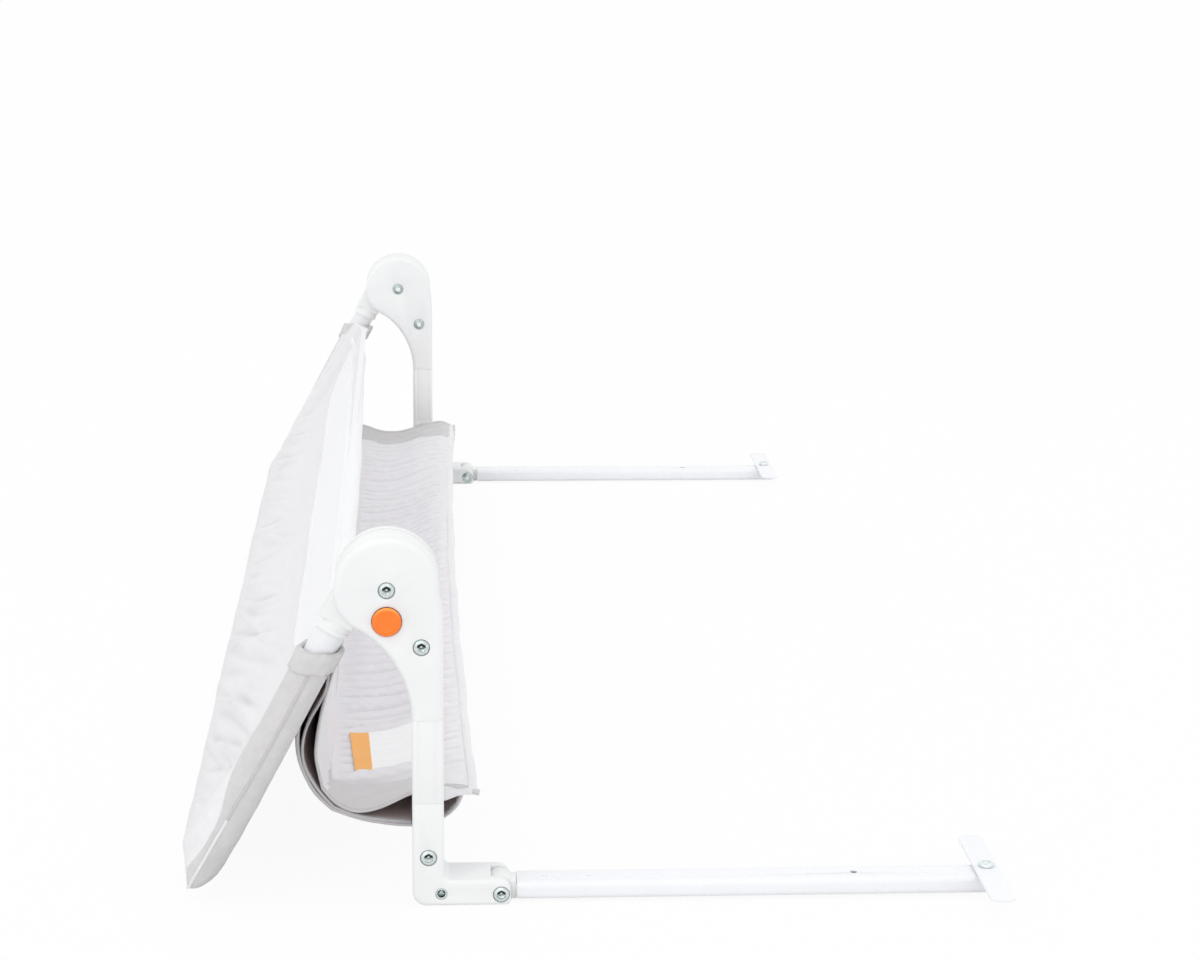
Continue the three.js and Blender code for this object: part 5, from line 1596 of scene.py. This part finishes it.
def wall_wave(i, x, distance):
    held = math.sin(math.pi * min(i / 40, 1.0))
    return held * (0.9 * math.sin(distance / 71 + i / 9) + 0.5 * math.sin(distance / 33 - i / 7))


def quiet_wave(i, x, distance):
    return 0.4 * wall_wave(i, x, distance)


def lining_height(i, x, distance):
    floor = smooth(i, TROUGH["wall_rows"] - 1, TROUGH["wall_rows"] + 1)
    hem = 1 - smooth(x, 34, 46)
    groove = math.exp(-((i - TROUGH["wall_rows"] + 1) / 1.1) ** 2) * smooth(distance, 50, 62)
    near = distance - MARGIN["near"] - MARGIN["slant"] * (x + 40)
    seam = math.exp(-(near / 3.0) ** 2) * floor + math.exp(-((distance - MARGIN["far"]) / 3.5) ** 2)
    gathered = smooth(i, TROUGH["wall_rows"] - 1, TROUGH["wall_rows"] + 4) * (0.25 + 0.75 * hem)
    lowered = MARGIN["groove"] * groove + MARGIN["depth"] * seam
    return gathered * pleat_height(x, distance) - lowered + quiet_wave(i, x, distance)


def mark_margins(bm):
    """Beyond its two cross seams the lining is painted a greyer copy of its cloth, as shade; that is its fourth look.
    """
    for face in bm.faces:
        centre = face.calc_center_median()
        distance = centre.y + SIDE + MID - TROUGH["start"]
        near = distance < MARGIN["near"] + MARGIN["slant"] * centre.x
        on_floor = MARGIN["wall"] < centre.x < MARGIN["hem"] and centre.z < MARGIN["below"]
        if face.material_index == 0 and (near and on_floor or distance > MARGIN["far"]):
            face.material_index = 3


def trough_sheet(name, stations, columns, height, thickness, looks, replaces=()):
    rows = sheet_rows(stations, columns, height)
    bm = thick_sheet(rows, thickness, 0, 1, 2, TROUGH["fold_depth"])
    if "margin" in looks:
        mark_margins(bm)
    return settle(bm, name, floor_frame, None, looks, replaces, 60), rows


def edge_tape(name, rows, column, inset, wide, thick):
    direction = 1 if column == 0 else -1
    line = [row[column] + Vector((0, direction * inset, 0)) for row in rows]
    return settle(cord_along(line, thick, wide, 12), name, floor_frame, None, "binding", (), 60)


FALL_FROM = (Vector((-31, 0, 178)), Vector((-40, 0, 84)))


def ride_on_the_swing(piece):
    start, end = (floor_frame @ place for place in FALL_FROM)
    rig.blend(piece, "panel", "legs", start, end)


outer_sheet, outer_rows = trough_sheet("trough_outer_sheet", OUTER, 150, wall_wave, THICK["outer"],
                                       ("shade", "lining", "binding"), ["skirt"])
middle_sheet, middle_rows = trough_sheet("trough_middle_fold", None, 160, quiet_wave, THICK["middle"],
                                         ("shade", "shade", "binding"))
lining_sheet, lining_rows = trough_sheet("trough_lining", LINING, 380, lining_height, THICK["lining"],
                                         ("lining", "shade", "binding", "margin"))
tapes = [
    edge_tape("trough_outer_tape_near", outer_rows, 0, 4.0, 5.5, 1.7),
    edge_tape("trough_outer_tape_far", outer_rows, -1, 5.0, 6.5, 1.7),
    edge_tape("trough_middle_tape_near", middle_rows, 0, 2.5, 3.6, 1.1),
    edge_tape("trough_middle_tape_far", middle_rows, -1, 2.5, 3.6, 1.1),
    edge_tape("trough_lining_tape_near", lining_rows, 0, 3.0, 4.0, 1.1),
    edge_tape("trough_lining_tape_far", lining_rows, -1, 7.0, 8.0, 1.2),
]
for piece in (outer_sheet, middle_sheet, lining_sheet, *tapes):
    ride_on_the_swing(piece)

# %% [markdown]
# A plain sewn patch lies on the lining near one end: a narrow orange strip and a wider white one. It is
# stiffer than the lining, so it bridges the pleats.

# %% Sewn patch
def patch_finish():
    material = finish("patch_cloth", (0.86, 0.86, 0.86), 0.6, Specular_IOR_Level=0.3)
    points = cloth_points(material)
    place = node(material, "ShaderNodeSeparateXYZ", {"Vector": points}).outputs["Y"]
    share = spread(material, place, 0, 1, (PATCH["strip"] - 0.15) * MM, (PATCH["strip"] + 0.15) * MM)
    grain = spread(material, blotch(material, points, 700, 3), 0.96, 1.0)
    base = tint(material, share, (0.99, 0.5, 0.16), (0.98, 0.98, 0.985))
    connect(material, "Base Color", tint(material, grain, (0, 0, 0), base))
    raise_surface(material, weave_of(material, points, CLOTH["patch"]), 0.0001, 0.4)
    return material


finishes["patch"] = patch_finish()


def floor_height(x, distance):
    section = section_at(LINING, distance)[TROUGH["wall_rows"] - 1:]
    for (x0, z0), (x1, z1) in zip(section, section[1:]):
        if x <= x1:
            return z0 + (z1 - z0) * (x - x0) / max(x1 - x0, 1e-6)
    return section[-1][1]


def sewn_patch():
    table = []
    for i in range(PATCH["columns"] + 1):
        row = []
        for j in range(PATCH["rows"] + 1):
            place = (Vector(PATCH["corner"]) + PATCH["across"] * (PATCH["wide"] * i / PATCH["columns"])
                     + PATCH["down"] * (PATCH["long"] * j / PATCH["rows"]))
            height = floor_height(place.x, place.y) + pleat_height(place.x, place.y) + PATCH["lift"]
            row.append(Vector((place.x, -SIDE - MID + TROUGH["start"] + place.y, height)))
        table.append(row)
    bm = thick_sheet(table, THICK["patch"], 0, 0, 1)
    bmesh.ops.recalc_face_normals(bm, faces=bm.faces)
    ride_on_the_swing(settle(bm, "lining_patch", floor_frame, None, ("patch", "binding"), (), 60))


sewn_patch()

# %% [markdown]
# The hem is a flat rolled casing along the bed side. Its ends are folded in, and a short tab with a snap
# stud fastens each end to the leg's bracket. The stud is a pressed cap over a post.

# %% Hem, tabs and studs
HEM = {"x": 57.9, "z": 70.6, "wide": 5.8, "thick": 2.0, "end": 702.5, "steps": 240, "roll": 2.2}
TAB = {"z": 69.5, "rise": 1.2, "half": 5.4, "narrowing": 3.0, "steps": 8}
STUD = {"x": 29.5, "z": 69.0}


def hem_casing():
    maker = random.Random(SEEDS["hem"])
    phases = [maker.uniform(0, 6.28) for _ in range(3)]
    points = []
    for k in range(HEM["steps"] + 1):
        share = k / HEM["steps"]
        y = -HEM["end"] + 2 * HEM["end"] * share
        distance = share * TROUGH["length"]
        sway = TROUGH["sag"] * math.sin(math.pi * distance / TROUGH["length"])
        wave = 0.5 * math.sin(y / 41 + phases[0]) + 0.35 * math.sin(y / 17 + phases[1])
        points.append(Vector((HEM["x"] - sway + wave, y, HEM["z"] + 0.6 * math.sin(y / 63 + phases[2]))))
    casing = cord_along(points, HEM["thick"], HEM["wide"], 20)
    settle(casing, "skirt_hem_casing", floor_frame, "legs", "lining", ["skirt_hem_band"], 50)
    for end, way in ENDS.items():
        line = [Vector((HEM["x"] + t, way * (HEM["end"] - 1.0), HEM["z"] - 0.3 - 0.02 * t * t))
                for t in (-4.6, -3, -1, 1, 3, 5, 7.4)]
        roll = cord_along(line, HEM["roll"], HEM["roll"], 16)
        # The hem rolls take the greyer copy of the cloth: painted shade.
        settle(roll, f"{end}_hem_roll", floor_frame, "legs", "end_cloth")


def tab_and_stud():
    line = through([(24, 45.5, 0), (34, 45.5, 0), (44, 45.6, 0), (52, 46.2, 0), (60, 46.6, 0)], 24)
    rows = []
    for k in range(TAB["steps"] + 1):
        share = 2 * k / TAB["steps"] - 1
        row = []
        for j, p in enumerate(line):
            rounded = min(0.72 + 0.14 * j, 1.0)
            half = (TAB["half"] - TAB["narrowing"] * smooth(p.x, 38, 52)) * rounded
            row.append(Vector((p.x, p.y, TAB["z"] + TAB["rise"] * smooth(p.x, 34, 56) + half * share)))
        rows.append(row)
    tab = thick_sheet(rows, THICK["tab"])
    bmesh.ops.recalc_face_normals(tab, faces=tab.faces)
    at_both_ends(tab, "hem_fastening_tab", "legs", "lining", ["hem_tab"])
    cap = [(0.0, 48.3), (1.6, 48.2), (2.9, 47.85), (3.9, 47.25), (4.45, 46.8), (4.6, 46.55), (4.5, 46.35),
           (2.4, 46.3), (2.4, 44.7), (0.0, 44.7)]
    at_both_ends(turned(cap, STUD["x"], STUD["z"], 40), "snap_stud", "legs", "zinc", ["tab_stud"])


hem_casing()
tab_and_stud()

# %% [markdown]
# The tube comes out of the bag through a stitched collar. Above it the painted tube goes into the hub's
# socket. The tube is swept along its real route, round the corner to the joint with the lower bar.

# %% Tube and collars
COLLAR = {"shift": 6.0, "dip": 2.4, "lean": 5.6, "steps": 72}


def side_tubes():
    for end, side in ENDS.items():
        route = [(SIDE, u) for u in (29.6, 40, 60, 90, 130, 165, 190)]
        route += arc((CORNER_X, COVER["arc"]), TUBE["bend"], 0, 90, 24)
        route += [(x, LOW_BAR) for x in (660, 630, 600.3)]
        tube = cord_along([Vector((side * x, u, HUB["tube_level"])) for x, u in route], TUBE["radius"],
                          TUBE["radius"], 48)
        settle(tube, f"{end}_side_tube", panel_frame, "panel", "tube_paint", [f"{end}_frame_bend"])


def collars():
    profile = [(11.6, 60.0), (11.7, 57.4), (12.4, 56.1), (13.6, 55.6), (14.9, 56.0), (15.7, 57.2), (15.9, 59.0),
               (15.8, 63.0), (15.6, 67.5), (15.4, 71.0), (15.0, 72.8), (14.2, 73.6), (13.4, 73.8), (12.2, 73.4),
               (11.8, 71.0)]
    turns = [2 * math.pi * k / COLLAR["steps"] for k in range(COLLAR["steps"])]
    for end, side in ENDS.items():
        bm = bmesh.new()
        table = []
        for radius, u in profile:
            ring = []
            for t in turns:
                pucker = 0.35 * math.sin(9 * t + u / 3) + 0.22 * math.sin(17 * t)
                grown = radius + pucker * smooth(radius, 12.5, 14.5)
                dip = COLLAR["dip"] * side * math.cos(t) + COLLAR["lean"] * math.sin(t)
                wave = 0.5 * math.sin(2 * t + side) + 0.35 * math.sin(5 * t + 1)
                ring.append(bm.verts.new((side * SIDE + grown * math.cos(t), u + COLLAR["shift"] + dip + wave,
                                          HUB["tube_level"] + grown * math.sin(t))))
            table.append(ring)
        join_rings(bm, table + [table[0]])
        bmesh.ops.recalc_face_normals(bm, faces=bm.faces)
        lay_weave(bm, [ring + [ring[0]] for ring in table])
        # The collars take the greyer copy of the cloth: painted shade.
        settle(bm, f"{end}_cloth_collar", panel_frame, "panel", "end_cloth", [f"{end}_cover_collar"])


side_tubes()
collars()

# %% [markdown]
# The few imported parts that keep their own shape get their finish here: the straight bar inside the cover,
# the lock pins, their springs and the nuts under the cross plates. All but the nuts are out of sight. A
# pressed button squashes its spring towards the housing, by a little more than it travels.

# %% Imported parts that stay
KEPT = {"frame_bar": "tube_paint", "lock_pin": "wire", "button_spring": "wire", "plate_nut": "zinc"}
SPARE = 0.03
for name, piece in frame["nodes"].items():
    look = next((look for part, look in KEPT.items() if name.endswith(part)), None)
    if look:
        piece.data.materials.clear()
        piece.data.materials.append(finishes[look])
for end, deep in (("left", max), ("right", min)):
    spring = frame["nodes"][f"{end}_button_spring"]
    along = [(spring.matrix_world @ vert.co).y for vert in spring.data.vertices]
    length = max(along) - min(along)
    keep = (length - BUTTON["travel"] * MM) / length - SPARE
    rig.squash(spring, f"{end}_button_press", axis=(0, 1, 0), anchor=(0, deep(along), 0), keep=keep)
    print(end, "spring length:", round(length * 1000, 2), "keeps", round(keep, 2))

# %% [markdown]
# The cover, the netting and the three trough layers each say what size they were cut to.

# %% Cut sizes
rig.sheet(cover, flat=(1.5, 0.21), held="stretched", rests_on=["frame_bar"])
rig.sheet(window, flat=(1.36, 0.085), held="stretched", rests_on=["panel_cover"])
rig.sheet(outer_sheet, flat=(1.405, 0.30), held="hung", rests_on=["panel_cover"])
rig.sheet(middle_sheet, flat=(1.405, 0.22), held="hung", rests_on=["trough_outer_sheet"])
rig.sheet(lining_sheet, flat=(1.405, 0.24), held="gathered", rests_on=["trough_outer_sheet"])

# %% [markdown]
# Last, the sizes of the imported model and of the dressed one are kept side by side.

# %% Sizes and finish
dressed_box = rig.bounds()
with open("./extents.json", "w") as sizes:
    json.dump({"cad": [list(corner) for corner in cad_box], "dressed": [list(corner) for corner in dressed_box]}, sizes)
print("packed:", cad_box, "dressed:", dressed_box)
